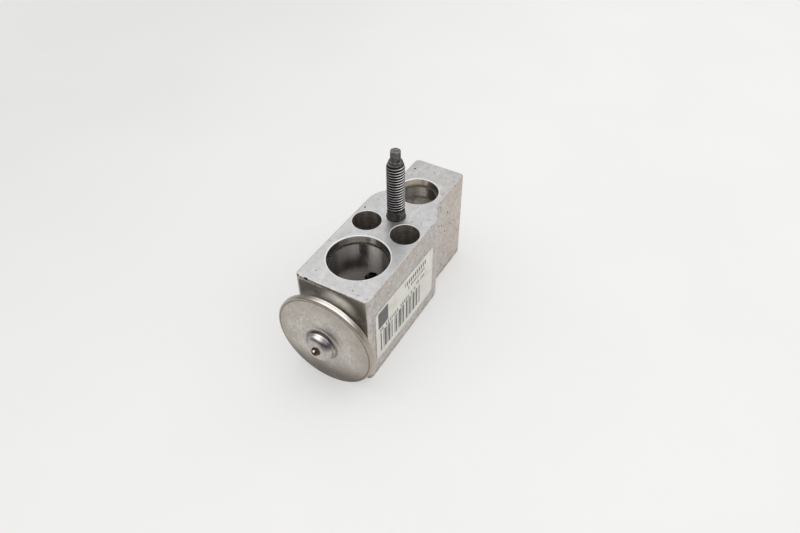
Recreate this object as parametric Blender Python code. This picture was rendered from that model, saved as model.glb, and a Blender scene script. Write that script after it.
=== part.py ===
"""Block-type thermostatic expansion valve for a vehicle's air conditioning.

Frame: +Z up, out of the line-side face, and +Y along the valve's axis, from the capsule to the
adjusting screw. The origin lies under the centre of the bounding box, on the evaporator-side
face that the valve rests on. All lengths are in metres. Distances named _Y are measured from
the block's near end face, where the capsule sits, and heights from the evaporator-side face.
"""
import math

import bmesh
import bpy

# Clearances between the solids
SEAT_GAP = 0.0001
RUNNING_GAP = 0.00015
THREAD_GAP = 0.0002

# Temperature capsule, on the near end of the block
CAPSULE_RADIUS = 0.0174
CAPSULE_BAND = 0.0021
CAPSULE_STANDOFF = 0.0037
RIM_TO_TABLE = 0.00005
RIM_LIP = 0.0007
RIM_ROUND = 0.0006
SHEET = 0.00065
DIAPHRAGM_THICKNESS = 0.00024
CAP_CREASE_RADIUS = 0.0073
CAP_DOME = 0.0008
BOSS_RADIUS = 0.0052
BOSS_HEIGHT = 0.0035
BOSS_ROUND = 0.0012
CHARGE_HOLE_RADIUS = 0.0015
CHARGE_HOLE_DEPTH = 0.0011
CHARGE_BALL_RADIUS = 0.00115
DISH_RADIUS = 0.0124
DISH_WALL = 0.0011
NECK_RADIUS = 0.0095
NECK_WALL = 0.0016
CAPSULE_RING_WIRE = 0.0006
PAD_SIDE_CLEARANCE = 0.0019
PAD_HUB_RADIUS = 0.0038
PAD_HUB_LENGTH = 0.0047
PAD_SOCKET_DEPTH = 0.0050

# Block
BLOCK_WIDTH = 0.0260
BLOCK_NARROW_WIDTH = 0.0192
BLOCK_HEIGHT = 0.0360
CORNER_RADIUS = 0.0016
SHOULDER_RADIUS = 0.0099
SHOULDER_FILLET = 0.0035
EDGE_CHAMFER = 0.0003
BLOCK_END_WALL = 0.0167

# Refrigerant ports: each has an entry bore, then a narrower bore
PORT_ENTRY_DEPTH = 0.0028
PORT_CHAMFER = 0.0004
SUCTION_ENTRY_RADIUS = 0.0101
SUCTION_BORE_RADIUS = 0.0093
LIQUID_ENTRY_RADIUS = 0.0071
LIQUID_BORE_RADIUS = 0.0064
INLET_FEED_RADIUS = 0.0030
INLET_FEED_OFFSET = 0.0026
OUTLET_FEED_RADIUS = 0.0033
INLET_FLOOR_WALL = 0.0055
OUTLET_FLOOR_WALL = 0.0043

# Screws through the block, and the stud
BOLT_SPACING = 0.0144
BOLT_HEAD_RADIUS = 0.0049
BOLT_SHANK_RADIUS = 0.0029
BOLT_SEAT_WALL = 0.0021
STUD_RADIUS = 0.0030
STUD_ROOT_RADIUS = 0.0026
STUD_HEIGHT = 0.0258
STUD_TAPER_START = 0.0201
STUD_TIP_START = 0.0221
STUD_TAPER_RADIUS = 0.0022
STUD_TIP_RADIUS = 0.00168
STUD_TIP_LOBE = 0.00016
STUD_TIP_CHAMFER = 0.0004
STUD_COLLAR_RADIUS = 0.0032
STUD_COLLAR_HEIGHT = 0.0021
STUD_HOLE_WALL = 0.0040
STUD_RECESS_DEPTH = 0.0008

# Places along the block, each from the one before it
SUCTION_END_WALL = 0.0056
SUCTION_TO_BOLTS = 0.0165
BOLTS_TO_STUD = 0.0068
STUD_TO_OUTLET = 0.0030
STUD_TO_SHOULDER = 0.0032
STUD_TO_INLET = 0.0151

# Valve train along the axis
POCKET_FLOOR = 0.0012
POCKET_HOLE_RADIUS = 0.0044
ROD_RADIUS = 0.0028
ROD_CHAMFER = 0.0004
GUIDE_LENGTH = 0.0062
PIN_RADIUS = 0.0012
PIN_SOCKET_DEPTH = 0.0030
SEAL_RADIUS = 0.0034
RETAINER_THICKNESS = 0.0007
ORIFICE_RADIUS = 0.0019
ORIFICE_RING_RADIUS = 0.0041
ORIFICE_LENGTH = 0.0026
ORIFICE_CHAMFER = 0.0004
ORIFICE_WALL = 0.0006
CHAMBER_RADIUS = 0.0056
BALL_RADIUS = 0.0025
CARRIER_NOSE_RADIUS = 0.0033
CARRIER_NOSE_LENGTH = 0.0023
CARRIER_FLANGE_RADIUS = 0.0049
CARRIER_FLANGE_THICKNESS = 0.0010
CARRIER_STEM_RADIUS = 0.0025
CARRIER_STEM_LENGTH = 0.0028
CARRIER_CONE_RADIUS = 0.0026
DAMPER_SHEET = 0.0003
DAMPER_LEG_LENGTH = 0.0025
DAMPER_LEG_ANGLE = math.radians(30)
DAMPER_LEGS = 3
SPRING_RADIUS = 0.0036
SPRING_WIRE_RADIUS = 0.00065
SPRING_TURNS = 5
SPRING_CLOSED_TURNS = 1
SPRING_POINTS_PER_TURN = 16
VALVE_LIFT = 0.0007

# Adjusting screw in the far end
ADJUSTER_BORE_RADIUS = 0.0066
ADJUSTER_BORE_DEPTH = 0.0098
ADJUSTER_TRAVEL_IN = 0.0010
ADJUSTER_RECESS = 0.0006
ADJUSTER_POCKET_DEPTH = 0.0015
ADJUSTER_CHAMFER = 0.0006
ADJUSTER_GROOVE_START = 0.0023
ADJUSTER_GROOVE_WIDTH = 0.0014
ADJUSTER_RING_WIRE = 0.00055
SOCKET_ACROSS_FLATS = 0.0060
SOCKET_DEPTH = 0.0036

# Label on the +X side
LABEL_THICKNESS = 0.00015
LABEL_GAP = 0.00005
LABEL_START_Y = 0.0039
LABEL_END_MARGIN = 0.0012
LABEL_BOTTOM = 0.0060
LABEL_HEIGHT = 0.0210
LABEL_CORNER = 0.0016

# How finely round shapes are divided
WIDE_STEPS = 48
BORE_STEPS = 40
SMALL_STEPS = 28
STUD_STEPS = 36
DAMPER_STEPS = 36
DAMPER_LEG_STEPS = 4
BALL_STEPS = 20
CHARGE_BALL_STEPS = 16
RING_SECTION_STEPS = 8
CORNER_POINTS = 5
SHOULDER_POINTS = 9
SMOOTH_ANGLE = math.radians(30)
CUTTER_OVERRUN = 0.0010
WELD_DISTANCE = 0.0000001

# Places that follow from the sizes
AXIS_HEIGHT = CAPSULE_RADIUS + RIM_TO_TABLE
SUCTION_Y = SUCTION_END_WALL + SUCTION_ENTRY_RADIUS
BOLT_Y = SUCTION_Y + SUCTION_TO_BOLTS
STUD_Y = BOLT_Y + BOLTS_TO_STUD
OUTLET_Y = STUD_Y + STUD_TO_OUTLET
SHOULDER_Y = STUD_Y + STUD_TO_SHOULDER
INLET_Y = STUD_Y + STUD_TO_INLET
BLOCK_LENGTH = INLET_Y + BLOCK_END_WALL

POCKET_DEPTH = SUCTION_Y - SUCTION_BORE_RADIUS - POCKET_FLOOR
GUIDE_START_Y = SUCTION_Y + SUCTION_BORE_RADIUS
SEAL_Y = GUIDE_START_Y + GUIDE_LENGTH
ORIFICE_Y = OUTLET_Y + OUTLET_FEED_RADIUS + ORIFICE_WALL
CHAMBER_Y = ORIFICE_Y + ORIFICE_LENGTH
ADJUSTER_BORE_Y = BLOCK_LENGTH - ADJUSTER_BORE_DEPTH
GUIDE_RADIUS = ROD_RADIUS + RUNNING_GAP
SEAL_BORE_RADIUS = SEAL_RADIUS + SEAT_GAP

CAP_FRONT_Y = -CAPSULE_STANDOFF - CAPSULE_BAND
CAP_INNER_Y = CAP_FRONT_Y + SHEET
DIAPHRAGM_Y = CAP_INNER_Y + SEAT_GAP
BASE_FLANGE_Y = DIAPHRAGM_Y + DIAPHRAGM_THICKNESS + SEAT_GAP
BOSS_FRONT_Y = CAP_FRONT_Y - CAP_DOME - BOSS_HEIGHT
CHARGE_WELL_Y = BOSS_FRONT_Y + CHARGE_HOLE_DEPTH
PAD_RADIUS = DISH_RADIUS - DISH_WALL - PAD_SIDE_CLEARANCE
PAD_FRONT_Y = DIAPHRAGM_Y + DIAPHRAGM_THICKNESS + SEAT_GAP
PAD_BACK_Y = -SEAT_GAP - DISH_WALL - VALVE_LIFT - 2 * SEAT_GAP

ROD_START_Y = PAD_BACK_Y + PAD_HUB_LENGTH - PAD_SOCKET_DEPTH + SEAT_GAP
ROD_END_Y = SEAL_Y - VALVE_LIFT - SEAT_GAP
PIN_START_Y = ROD_END_Y - PIN_SOCKET_DEPTH + SEAT_GAP
BALL_SEAT_Y = CHAMBER_Y - ORIFICE_CHAMFER
BALL_Y = BALL_SEAT_Y + math.sqrt((BALL_RADIUS + SEAT_GAP) ** 2 - ORIFICE_RADIUS**2)
PIN_END_Y = BALL_Y - BALL_RADIUS - SEAT_GAP
CARRIER_PIT_Y = BALL_Y + BALL_RADIUS + SEAT_GAP
CARRIER_CONE_SUM = BALL_Y + math.sqrt(2) * (BALL_RADIUS + SEAT_GAP)
CARRIER_NOSE_Y = CARRIER_CONE_SUM - CARRIER_CONE_RADIUS
CARRIER_FLANGE_Y = CARRIER_NOSE_Y + CARRIER_NOSE_LENGTH
CARRIER_BACK_Y = CARRIER_FLANGE_Y + CARRIER_FLANGE_THICKNESS

SCREW_FRONT_Y = ADJUSTER_BORE_Y + ADJUSTER_TRAVEL_IN + 3 * SEAT_GAP
SCREW_BACK_Y = BLOCK_LENGTH - ADJUSTER_RECESS
SCREW_RADIUS = ADJUSTER_BORE_RADIUS - THREAD_GAP
SPRING_POCKET_Y = SCREW_FRONT_Y + ADJUSTER_POCKET_DEPTH
GROOVE_Y = SCREW_FRONT_Y + ADJUSTER_GROOVE_START
GROOVE_RADIUS = SCREW_RADIUS - 2 * ADJUSTER_RING_WIRE

INLET_FLOOR_Z = AXIS_HEIGHT + CHAMBER_RADIUS + INLET_FLOOR_WALL
OUTLET_FLOOR_Z = AXIS_HEIGHT - CHAMBER_RADIUS - OUTLET_FLOOR_WALL
BOLT_SEAT_Z = AXIS_HEIGHT + GUIDE_RADIUS + BOLT_SEAT_WALL
STUD_HOLE_Z = AXIS_HEIGHT + SEAL_BORE_RADIUS + STUD_HOLE_WALL
STUD_HOLE_RADIUS = STUD_ROOT_RADIUS + RUNNING_GAP
STUD_RECESS_RADIUS = STUD_COLLAR_RADIUS + 2 * SEAT_GAP

CHARGE_BALL_Y = CHARGE_WELL_Y + CHARGE_HOLE_RADIUS - math.sqrt(2) * (CHARGE_BALL_RADIUS + SEAT_GAP)
FRONT_REACH = CHARGE_BALL_Y - CHARGE_BALL_RADIUS
ORIGIN_Y = (BLOCK_LENGTH + FRONT_REACH) / 2


def clear_scene():
    for old in list(bpy.data.objects):
        bpy.data.objects.remove(old, do_unlink=True)


def make_material(name, colour, metallic, roughness):
    material = bpy.data.materials.new(name)
    material.use_nodes = True
    shader = material.node_tree.nodes["Principled BSDF"]
    shader.inputs["Base Color"].default_value = (*colour, 1.0)
    shader.inputs["Metallic"].default_value = metallic
    shader.inputs["Roughness"].default_value = roughness
    return material


def make_empty(name, location, rotation):
    empty = bpy.data.objects.new(name, None)
    empty.location = location
    empty.rotation_euler = rotation
    bpy.context.scene.collection.objects.link(empty)
    return empty


def add_object(name, data, parent, location=(0, 0, 0), material=None):
    item = bpy.data.objects.new(name, data)
    item.parent = parent
    item.location = location
    if material:
        item.data.materials.append(material)
    bpy.context.scene.collection.objects.link(item)
    return item


def finish_mesh(bm, name):
    """Welds what meets, turns all faces outward and shades round faces smooth."""
    bmesh.ops.remove_doubles(bm, verts=bm.verts, dist=WELD_DISTANCE)
    bmesh.ops.recalc_face_normals(bm, faces=bm.faces)
    mesh = bpy.data.meshes.new(name)
    bm.to_mesh(mesh)
    bm.free()
    mesh.shade_smooth()
    mesh.set_sharp_from_angle(angle=SMOOTH_ANGLE)
    return mesh


def turned_mesh(name, profile, steps, angle=2 * math.pi):
    """Turns a profile of (radius, place along Z) about Z. A profile that starts and ends on the
    axis is left open there, and any other is closed first."""
    bm = bmesh.new()
    points = [bm.verts.new((radius, 0, place)) for radius, place in profile]
    on_axis = profile[0][0] == 0 and profile[-1][0] == 0
    edges = [bm.edges.new(pair) for pair in zip(points, points[1:])]
    if not on_axis:
        edges.append(bm.edges.new((points[-1], points[0])))
    whole = angle >= 2 * math.pi
    if not whole:
        bm.faces.new(points)
    bmesh.ops.spin(bm, geom=points + edges, cent=(0, 0, 0), axis=(0, 0, 1), angle=angle,
                   steps=steps, use_merge=whole, use_duplicate=False)
    if not whole:
        bmesh.ops.holes_fill(bm, edges=bm.edges, sides=len(points))
    return finish_mesh(bm, name)


def arc(centre, radius, start, end, count):
    """Points along a circle's arc, from one angle to another."""
    steps = [start + (end - start) * i / (count - 1) for i in range(count)]
    return [(centre[0] + radius * math.cos(a), centre[1] + radius * math.sin(a)) for a in steps]


def lofted_mesh(name, rings):
    """Joins rings of equal point count, each a list of (x, y, z), and caps both ends."""
    bm = bmesh.new()
    loops = [[bm.verts.new(point) for point in ring] for ring in rings]
    for low, high in zip(loops, loops[1:]):
        for i, vertex in enumerate(low):
            j = (i + 1) % len(low)
            bm.faces.new((vertex, low[j], high[j], high[i]))
    bm.faces.new(reversed(loops[0]))
    bm.faces.new(loops[-1])
    return finish_mesh(bm, name)


def hide_cutter(cutter):
    cutter.hide_render = True
    cutter.display_type = "WIRE"


def cut(item, name, mesh, parent, location=(0, 0, 0), rotation=(0, 0, 0), operation="DIFFERENCE"):
    """Adds a cutter for a Boolean on the item."""
    cutter = add_object(name, mesh, parent, location)
    cutter.rotation_euler = rotation
    hide_cutter(cutter)
    modifier = item.modifiers.new(name, "BOOLEAN")
    modifier.operation = operation
    modifier.solver = "EXACT"
    modifier.object = cutter


def block_outline(inset):
    """The block's outline seen from above, drawn in by the inset: a wide near part, a convex
    shoulder that runs through a fillet into the narrow far part, and round corners."""
    half_wide = BLOCK_WIDTH / 2 - inset
    half_narrow = BLOCK_NARROW_WIDTH / 2 - inset
    corner = CORNER_RADIUS - inset
    convex = SHOULDER_RADIUS - inset
    concave = SHOULDER_FILLET + inset
    turn = math.acos(1 - (half_wide - half_narrow) / (convex + concave))
    near = arc((half_wide - corner, inset + corner), corner, -math.pi / 2, 0, CORNER_POINTS)
    shoulder = arc((half_wide - convex, SHOULDER_Y), convex, 0, turn, SHOULDER_POINTS)
    fillet_y = SHOULDER_Y + (convex + concave) * math.sin(turn)
    fillet = arc((half_narrow + concave, fillet_y), concave, math.pi + turn, math.pi, CORNER_POINTS)
    far_centre = (half_narrow - corner, BLOCK_LENGTH - inset - corner)
    far = arc(far_centre, corner, 0, math.pi / 2, CORNER_POINTS)
    right = near + shoulder + fillet[1:] + far
    return right + [(-x, y) for x, y in reversed(right)]


def port_profile(entry, bore, floor, face, direction):
    """A port's cutter: chamfer, entry bore and bore, from its face down to its floor."""
    chamfered = entry + PORT_CHAMFER
    return [(0, floor), (bore, floor), (bore, face - direction * PORT_ENTRY_DEPTH),
            (entry, face - direction * PORT_ENTRY_DEPTH), (entry, face - direction * PORT_CHAMFER),
            (chamfered, face), (chamfered, face + direction * CUTTER_OVERRUN),
            (0, face + direction * CUTTER_OVERRUN)]


def make_block(frame, axis, material):
    """The block, with its four ports, screw holes, stud hole and the long bore."""
    rings = []
    for z, inset in ((0, EDGE_CHAMFER), (EDGE_CHAMFER, 0), (BLOCK_HEIGHT - EDGE_CHAMFER, 0),
                     (BLOCK_HEIGHT, EDGE_CHAMFER)):
        rings.append([(x, y, z) for x, y in block_outline(inset)])
    block = add_object("valve_body", lofted_mesh("valve_body", rings), frame, material=material)

    entry, bore = SUCTION_ENTRY_RADIUS, SUCTION_BORE_RADIUS
    top = port_profile(entry, bore, 0, BLOCK_HEIGHT, 1)[2:]
    bottom = port_profile(entry, bore, BLOCK_HEIGHT, 0, -1)[2:]
    suction = turned_mesh("suction_cutter", list(reversed(bottom)) + top, WIDE_STEPS)
    cut(block, "suction_cutter", suction, frame, (0, SUCTION_Y, 0))

    inlet = port_profile(LIQUID_ENTRY_RADIUS, LIQUID_BORE_RADIUS, INLET_FLOOR_Z, BLOCK_HEIGHT, 1)
    cut(block, "inlet_cutter", turned_mesh("inlet_cutter", inlet, BORE_STEPS), frame, (0, INLET_Y, 0))
    feed_bottom = AXIS_HEIGHT + ORIFICE_RING_RADIUS + 4 * SEAT_GAP
    feed = [(0, feed_bottom), (INLET_FEED_RADIUS, feed_bottom),
            (INLET_FEED_RADIUS, INLET_FLOOR_Z + CUTTER_OVERRUN), (0, INLET_FLOOR_Z + CUTTER_OVERRUN)]
    cut(block, "inlet_feed_cutter", turned_mesh("inlet_feed_cutter", feed, SMALL_STEPS), frame,
        (0, INLET_Y - INLET_FEED_OFFSET, 0))

    outlet = port_profile(LIQUID_ENTRY_RADIUS, LIQUID_BORE_RADIUS, OUTLET_FLOOR_Z, 0, -1)
    outlet = [(0, AXIS_HEIGHT), (OUTLET_FEED_RADIUS, AXIS_HEIGHT),
              (OUTLET_FEED_RADIUS, OUTLET_FLOOR_Z)] + outlet[1:]
    cut(block, "outlet_cutter", turned_mesh("outlet_cutter", outlet, BORE_STEPS), frame,
        (0, OUTLET_Y, 0))

    over = BLOCK_HEIGHT + CUTTER_OVERRUN
    bolt = [(0, -CUTTER_OVERRUN), (BOLT_SHANK_RADIUS, -CUTTER_OVERRUN), (BOLT_SHANK_RADIUS, BOLT_SEAT_Z),
            (BOLT_HEAD_RADIUS, BOLT_SEAT_Z), (BOLT_HEAD_RADIUS, over), (0, over)]
    for side, name in ((-1, "left_bolt_cutter"), (1, "right_bolt_cutter")):
        cut(block, name, turned_mesh(name, bolt, SMALL_STEPS), frame, (side * BOLT_SPACING / 2, BOLT_Y, 0))

    recess = BLOCK_HEIGHT - STUD_RECESS_DEPTH
    stud = [(0, STUD_HOLE_Z), (STUD_HOLE_RADIUS, STUD_HOLE_Z), (STUD_HOLE_RADIUS, recess),
            (STUD_RECESS_RADIUS, recess), (STUD_RECESS_RADIUS, over), (0, over)]
    cut(block, "stud_cutter", turned_mesh("stud_cutter", stud, SMALL_STEPS), frame, (0, STUD_Y, 0))

    pocket = NECK_RADIUS + THREAD_GAP
    seal_groove = pocket + 2 * CAPSULE_RING_WIRE
    seal_depth = 2 * CAPSULE_RING_WIRE
    near = [(0, -CUTTER_OVERRUN), (seal_groove, -CUTTER_OVERRUN), (seal_groove, seal_depth),
            (pocket, seal_depth), (pocket, POCKET_DEPTH), (POCKET_HOLE_RADIUS, POCKET_DEPTH),
            (POCKET_HOLE_RADIUS, SUCTION_Y), (0, SUCTION_Y)]
    cut(block, "pocket_cutter", turned_mesh("pocket_cutter", near, BORE_STEPS), axis)
    ring_bore = ORIFICE_RING_RADIUS + SEAT_GAP
    mouth = ADJUSTER_BORE_RADIUS + ADJUSTER_CHAMFER
    far = [(0, SUCTION_Y), (GUIDE_RADIUS, SUCTION_Y), (GUIDE_RADIUS, SEAL_Y), (SEAL_BORE_RADIUS, SEAL_Y),
           (SEAL_BORE_RADIUS, ORIFICE_Y), (ring_bore, ORIFICE_Y), (ring_bore, CHAMBER_Y),
           (CHAMBER_RADIUS, CHAMBER_Y), (CHAMBER_RADIUS, ADJUSTER_BORE_Y),
           (ADJUSTER_BORE_RADIUS, ADJUSTER_BORE_Y),
           (ADJUSTER_BORE_RADIUS, BLOCK_LENGTH - ADJUSTER_CHAMFER), (mouth, BLOCK_LENGTH),
           (mouth, BLOCK_LENGTH + CUTTER_OVERRUN), (0, BLOCK_LENGTH + CUTTER_OVERRUN)]
    cut(block, "long_bore_cutter", turned_mesh("long_bore_cutter", far, BORE_STEPS), axis)


def make_stud(frame, material):
    """The M6 stud: rooted in the block, with a collar, a taper and a six-lobed drive tip."""
    base = -(BLOCK_HEIGHT - STUD_HOLE_Z) + 3 * SEAT_GAP
    recess = -STUD_RECESS_DEPTH + SEAT_GAP
    collar = STUD_COLLAR_HEIGHT
    sections = [(base, STUD_ROOT_RADIUS - ROD_CHAMFER, 0), (base + ROD_CHAMFER, STUD_ROOT_RADIUS, 0),
                (recess, STUD_ROOT_RADIUS, 0), (recess, STUD_COLLAR_RADIUS, 0),
                (collar - STUD_TIP_CHAMFER, STUD_COLLAR_RADIUS, 0), (collar, STUD_RADIUS, 0),
                (STUD_TAPER_START, STUD_RADIUS, 0), (STUD_TIP_START, STUD_TAPER_RADIUS, 0),
                (STUD_TIP_START, STUD_TIP_RADIUS, STUD_TIP_LOBE),
                (STUD_HEIGHT - STUD_TIP_CHAMFER, STUD_TIP_RADIUS, STUD_TIP_LOBE),
                (STUD_HEIGHT, STUD_TIP_RADIUS - STUD_TIP_CHAMFER, STUD_TIP_LOBE)]
    rings = []
    for z, radius, lobe in sections:
        ring = []
        for i in range(STUD_STEPS):
            angle = 2 * math.pi * i / STUD_STEPS
            reach = radius + lobe * math.cos(6 * angle)
            ring.append((reach * math.cos(angle), reach * math.sin(angle), z))
        rings.append(ring)
    mesh = lofted_mesh("mounting_stud", rings)
    add_object("mounting_stud", mesh, frame, (0, STUD_Y, BLOCK_HEIGHT), material)


def make_capsule(axis, steel, rubber):
    """Cap, diaphragm, base, charge ball, pad and seal ring of the temperature capsule."""
    lip_back = -CAPSULE_STANDOFF
    lip_inner = CAPSULE_RADIUS - RIM_LIP
    clamp = DISH_RADIUS + DISH_WALL
    crease_y = CAP_FRONT_Y - CAP_DOME
    boss_side = BOSS_RADIUS - BOSS_ROUND / 2
    rim = arc((CAPSULE_RADIUS - RIM_ROUND, CAP_FRONT_Y + RIM_ROUND), RIM_ROUND, -math.pi / 2, 0, 6)
    heel = arc((CAPSULE_RADIUS - SHEET / 2, lip_back - SHEET / 2), SHEET / 2, 0, math.pi / 2, 3)
    nose = arc((boss_side - BOSS_ROUND, BOSS_FRONT_Y + BOSS_ROUND), BOSS_ROUND, -math.pi / 2, 0, 5)
    well_floor = CHARGE_WELL_Y + CHARGE_HOLE_RADIUS / 2
    profile = [(CHARGE_HOLE_RADIUS / 2, well_floor), (CHARGE_HOLE_RADIUS, CHARGE_WELL_Y),
               (CHARGE_HOLE_RADIUS, BOSS_FRONT_Y)]
    profile += nose
    profile += [(BOSS_RADIUS, crease_y - BOSS_ROUND / 3), (BOSS_RADIUS + BOSS_ROUND / 2, crease_y),
                (CAP_CREASE_RADIUS, crease_y)]
    profile += rim
    profile += heel
    profile += [(lip_inner, lip_back), (lip_inner, CAP_INNER_Y), (clamp, CAP_INNER_Y),
                (CAP_CREASE_RADIUS, crease_y + SHEET), (BOSS_RADIUS - SHEET, crease_y + SHEET),
                (boss_side - SHEET, well_floor + SHEET), (CHARGE_HOLE_RADIUS / 2, well_floor + SHEET)]
    cap = turned_mesh("capsule_cap", profile, WIDE_STEPS)
    add_object("capsule_cap", cap, axis, material=steel)

    bm = bmesh.new()
    bmesh.ops.create_uvsphere(bm, u_segments=CHARGE_BALL_STEPS, v_segments=CHARGE_BALL_STEPS // 2,
                              radius=CHARGE_BALL_RADIUS)
    ball = finish_mesh(bm, "charge_plug_ball")
    add_object("charge_plug_ball", ball, axis, (0, 0, CHARGE_BALL_Y), steel)

    disc_radius = lip_inner - SEAT_GAP
    disc = [(0, DIAPHRAGM_Y), (disc_radius, DIAPHRAGM_Y),
            (disc_radius, DIAPHRAGM_Y + DIAPHRAGM_THICKNESS), (0, DIAPHRAGM_Y + DIAPHRAGM_THICKNESS)]
    add_object("diaphragm", turned_mesh("diaphragm", disc, WIDE_STEPS), axis, material=steel)

    shoulder = -SEAT_GAP
    inner_floor = shoulder - DISH_WALL
    inner_neck = NECK_RADIUS - NECK_WALL
    cone = DISH_RADIUS + SHEET + DISH_WALL
    neck_end = POCKET_DEPTH - 5 * SEAT_GAP
    base = [(disc_radius, BASE_FLANGE_Y), (disc_radius, lip_back - SEAT_GAP), (cone, lip_back - SEAT_GAP),
            (DISH_RADIUS, lip_back + DISH_WALL), (DISH_RADIUS, shoulder), (NECK_RADIUS, shoulder),
            (NECK_RADIUS, neck_end - ROD_CHAMFER), (NECK_RADIUS - ROD_CHAMFER, neck_end),
            (inner_neck, neck_end), (inner_neck, inner_floor), (DISH_RADIUS - DISH_WALL, inner_floor),
            (DISH_RADIUS - DISH_WALL, lip_back + DISH_WALL / 2), (DISH_RADIUS + SHEET / 2, BASE_FLANGE_Y)]
    add_object("capsule_base", turned_mesh("capsule_base", base, WIDE_STEPS), axis, material=steel)

    hub_end = PAD_BACK_Y + PAD_HUB_LENGTH
    socket = ROD_RADIUS + RUNNING_GAP
    pad = [(0, PAD_FRONT_Y), (PAD_RADIUS - ROD_CHAMFER, PAD_FRONT_Y),
           (PAD_RADIUS, PAD_FRONT_Y + ROD_CHAMFER), (PAD_RADIUS, PAD_BACK_Y),
           (PAD_HUB_RADIUS, PAD_BACK_Y), (PAD_HUB_RADIUS, hub_end), (socket, hub_end),
           (socket, hub_end - PAD_SOCKET_DEPTH), (0, hub_end - PAD_SOCKET_DEPTH)]
    add_object("diaphragm_pad", turned_mesh("diaphragm_pad", pad, BORE_STEPS), axis, material=steel)

    ring_radius = NECK_RADIUS + THREAD_GAP + CAPSULE_RING_WIRE - SEAT_GAP
    ring_wire = CAPSULE_RING_WIRE - SEAT_GAP / 2
    add_seal_ring("capsule_o_ring", axis, ring_radius, ring_wire, CAPSULE_RING_WIRE, rubber)


def add_seal_ring(name, axis, radius, wire, place, material):
    """A rubber O-ring: its middle radius, its wire's radius and its place along the axis."""
    section = arc((radius, 0), wire, 0, 2 * math.pi, RING_SECTION_STEPS + 1)[:-1]
    add_object(name, turned_mesh(name, section, BORE_STEPS), axis, (0, 0, place), material)


def make_valve_train(axis, steel, brass, rubber):
    """Rod, pin, seals, orifice ring, ball and its carrier, damper and spring."""
    pin_socket = PIN_RADIUS + RUNNING_GAP
    rod = [(0, ROD_START_Y), (ROD_RADIUS - ROD_CHAMFER, ROD_START_Y),
           (ROD_RADIUS, ROD_START_Y + ROD_CHAMFER), (ROD_RADIUS, ROD_END_Y - ROD_CHAMFER),
           (ROD_RADIUS - ROD_CHAMFER, ROD_END_Y), (pin_socket, ROD_END_Y),
           (pin_socket, ROD_END_Y - PIN_SOCKET_DEPTH), (0, ROD_END_Y - PIN_SOCKET_DEPTH)]
    add_object("sensing_rod", turned_mesh("sensing_rod", rod, SMALL_STEPS), axis, material=steel)

    tip = PIN_RADIUS / 4
    pin = [(0, PIN_START_Y), (PIN_RADIUS, PIN_START_Y), (PIN_RADIUS, PIN_END_Y - tip),
           (PIN_RADIUS - tip, PIN_END_Y), (0, PIN_END_Y)]
    add_object("push_pin", turned_mesh("push_pin", pin, SMALL_STEPS), axis, material=steel)

    seal_hole = PIN_RADIUS + RUNNING_GAP
    seal_wire = (SEAL_RADIUS - seal_hole) / 2
    seal_place = SEAL_Y + SEAT_GAP + seal_wire
    add_seal_ring("pin_o_ring", axis, SEAL_RADIUS - seal_wire, seal_wire, seal_place, rubber)
    retainer_y = seal_place + seal_wire + SEAT_GAP
    crown = RETAINER_THICKNESS / 3
    retainer_end = retainer_y + RETAINER_THICKNESS
    retainer = [(seal_hole, retainer_y), (SEAL_RADIUS, retainer_y + crown),
                (SEAL_RADIUS, retainer_end + crown), (seal_hole, retainer_end)]
    add_object("seal_retainer", turned_mesh("seal_retainer", retainer, SMALL_STEPS), axis, material=steel)

    mouth = ORIFICE_RADIUS + ORIFICE_CHAMFER
    ring_start = ORIFICE_Y + SEAT_GAP
    orifice = [(ORIFICE_RADIUS, ring_start), (ORIFICE_RING_RADIUS - ORIFICE_CHAMFER, ring_start),
               (ORIFICE_RING_RADIUS, ring_start + ORIFICE_CHAMFER), (ORIFICE_RING_RADIUS, CHAMBER_Y),
               (mouth, CHAMBER_Y), (ORIFICE_RADIUS, BALL_SEAT_Y)]
    add_object("orifice_ring", turned_mesh("orifice_ring", orifice, SMALL_STEPS), axis, material=steel)

    bm = bmesh.new()
    bmesh.ops.create_uvsphere(bm, u_segments=BALL_STEPS, v_segments=BALL_STEPS // 2, radius=BALL_RADIUS)
    add_object("valve_ball", finish_mesh(bm, "valve_ball"), axis, (0, 0, BALL_Y), steel)

    stem_end = CARRIER_BACK_Y + CARRIER_STEM_LENGTH
    carrier = [(0, CARRIER_PIT_Y), (CARRIER_CONE_SUM - CARRIER_PIT_Y, CARRIER_PIT_Y),
               (CARRIER_CONE_RADIUS, CARRIER_NOSE_Y), (CARRIER_NOSE_RADIUS, CARRIER_NOSE_Y),
               (CARRIER_NOSE_RADIUS, CARRIER_FLANGE_Y), (CARRIER_FLANGE_RADIUS, CARRIER_FLANGE_Y),
               (CARRIER_FLANGE_RADIUS, CARRIER_BACK_Y), (CARRIER_STEM_RADIUS, CARRIER_BACK_Y),
               (CARRIER_STEM_RADIUS, stem_end - ROD_CHAMFER), (CARRIER_STEM_RADIUS - ROD_CHAMFER, stem_end),
               (0, stem_end)]
    add_object("ball_carrier", turned_mesh("ball_carrier", carrier, SMALL_STEPS), axis, material=brass)

    add_damper(axis, steel)
    add_spring(axis, steel)


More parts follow.
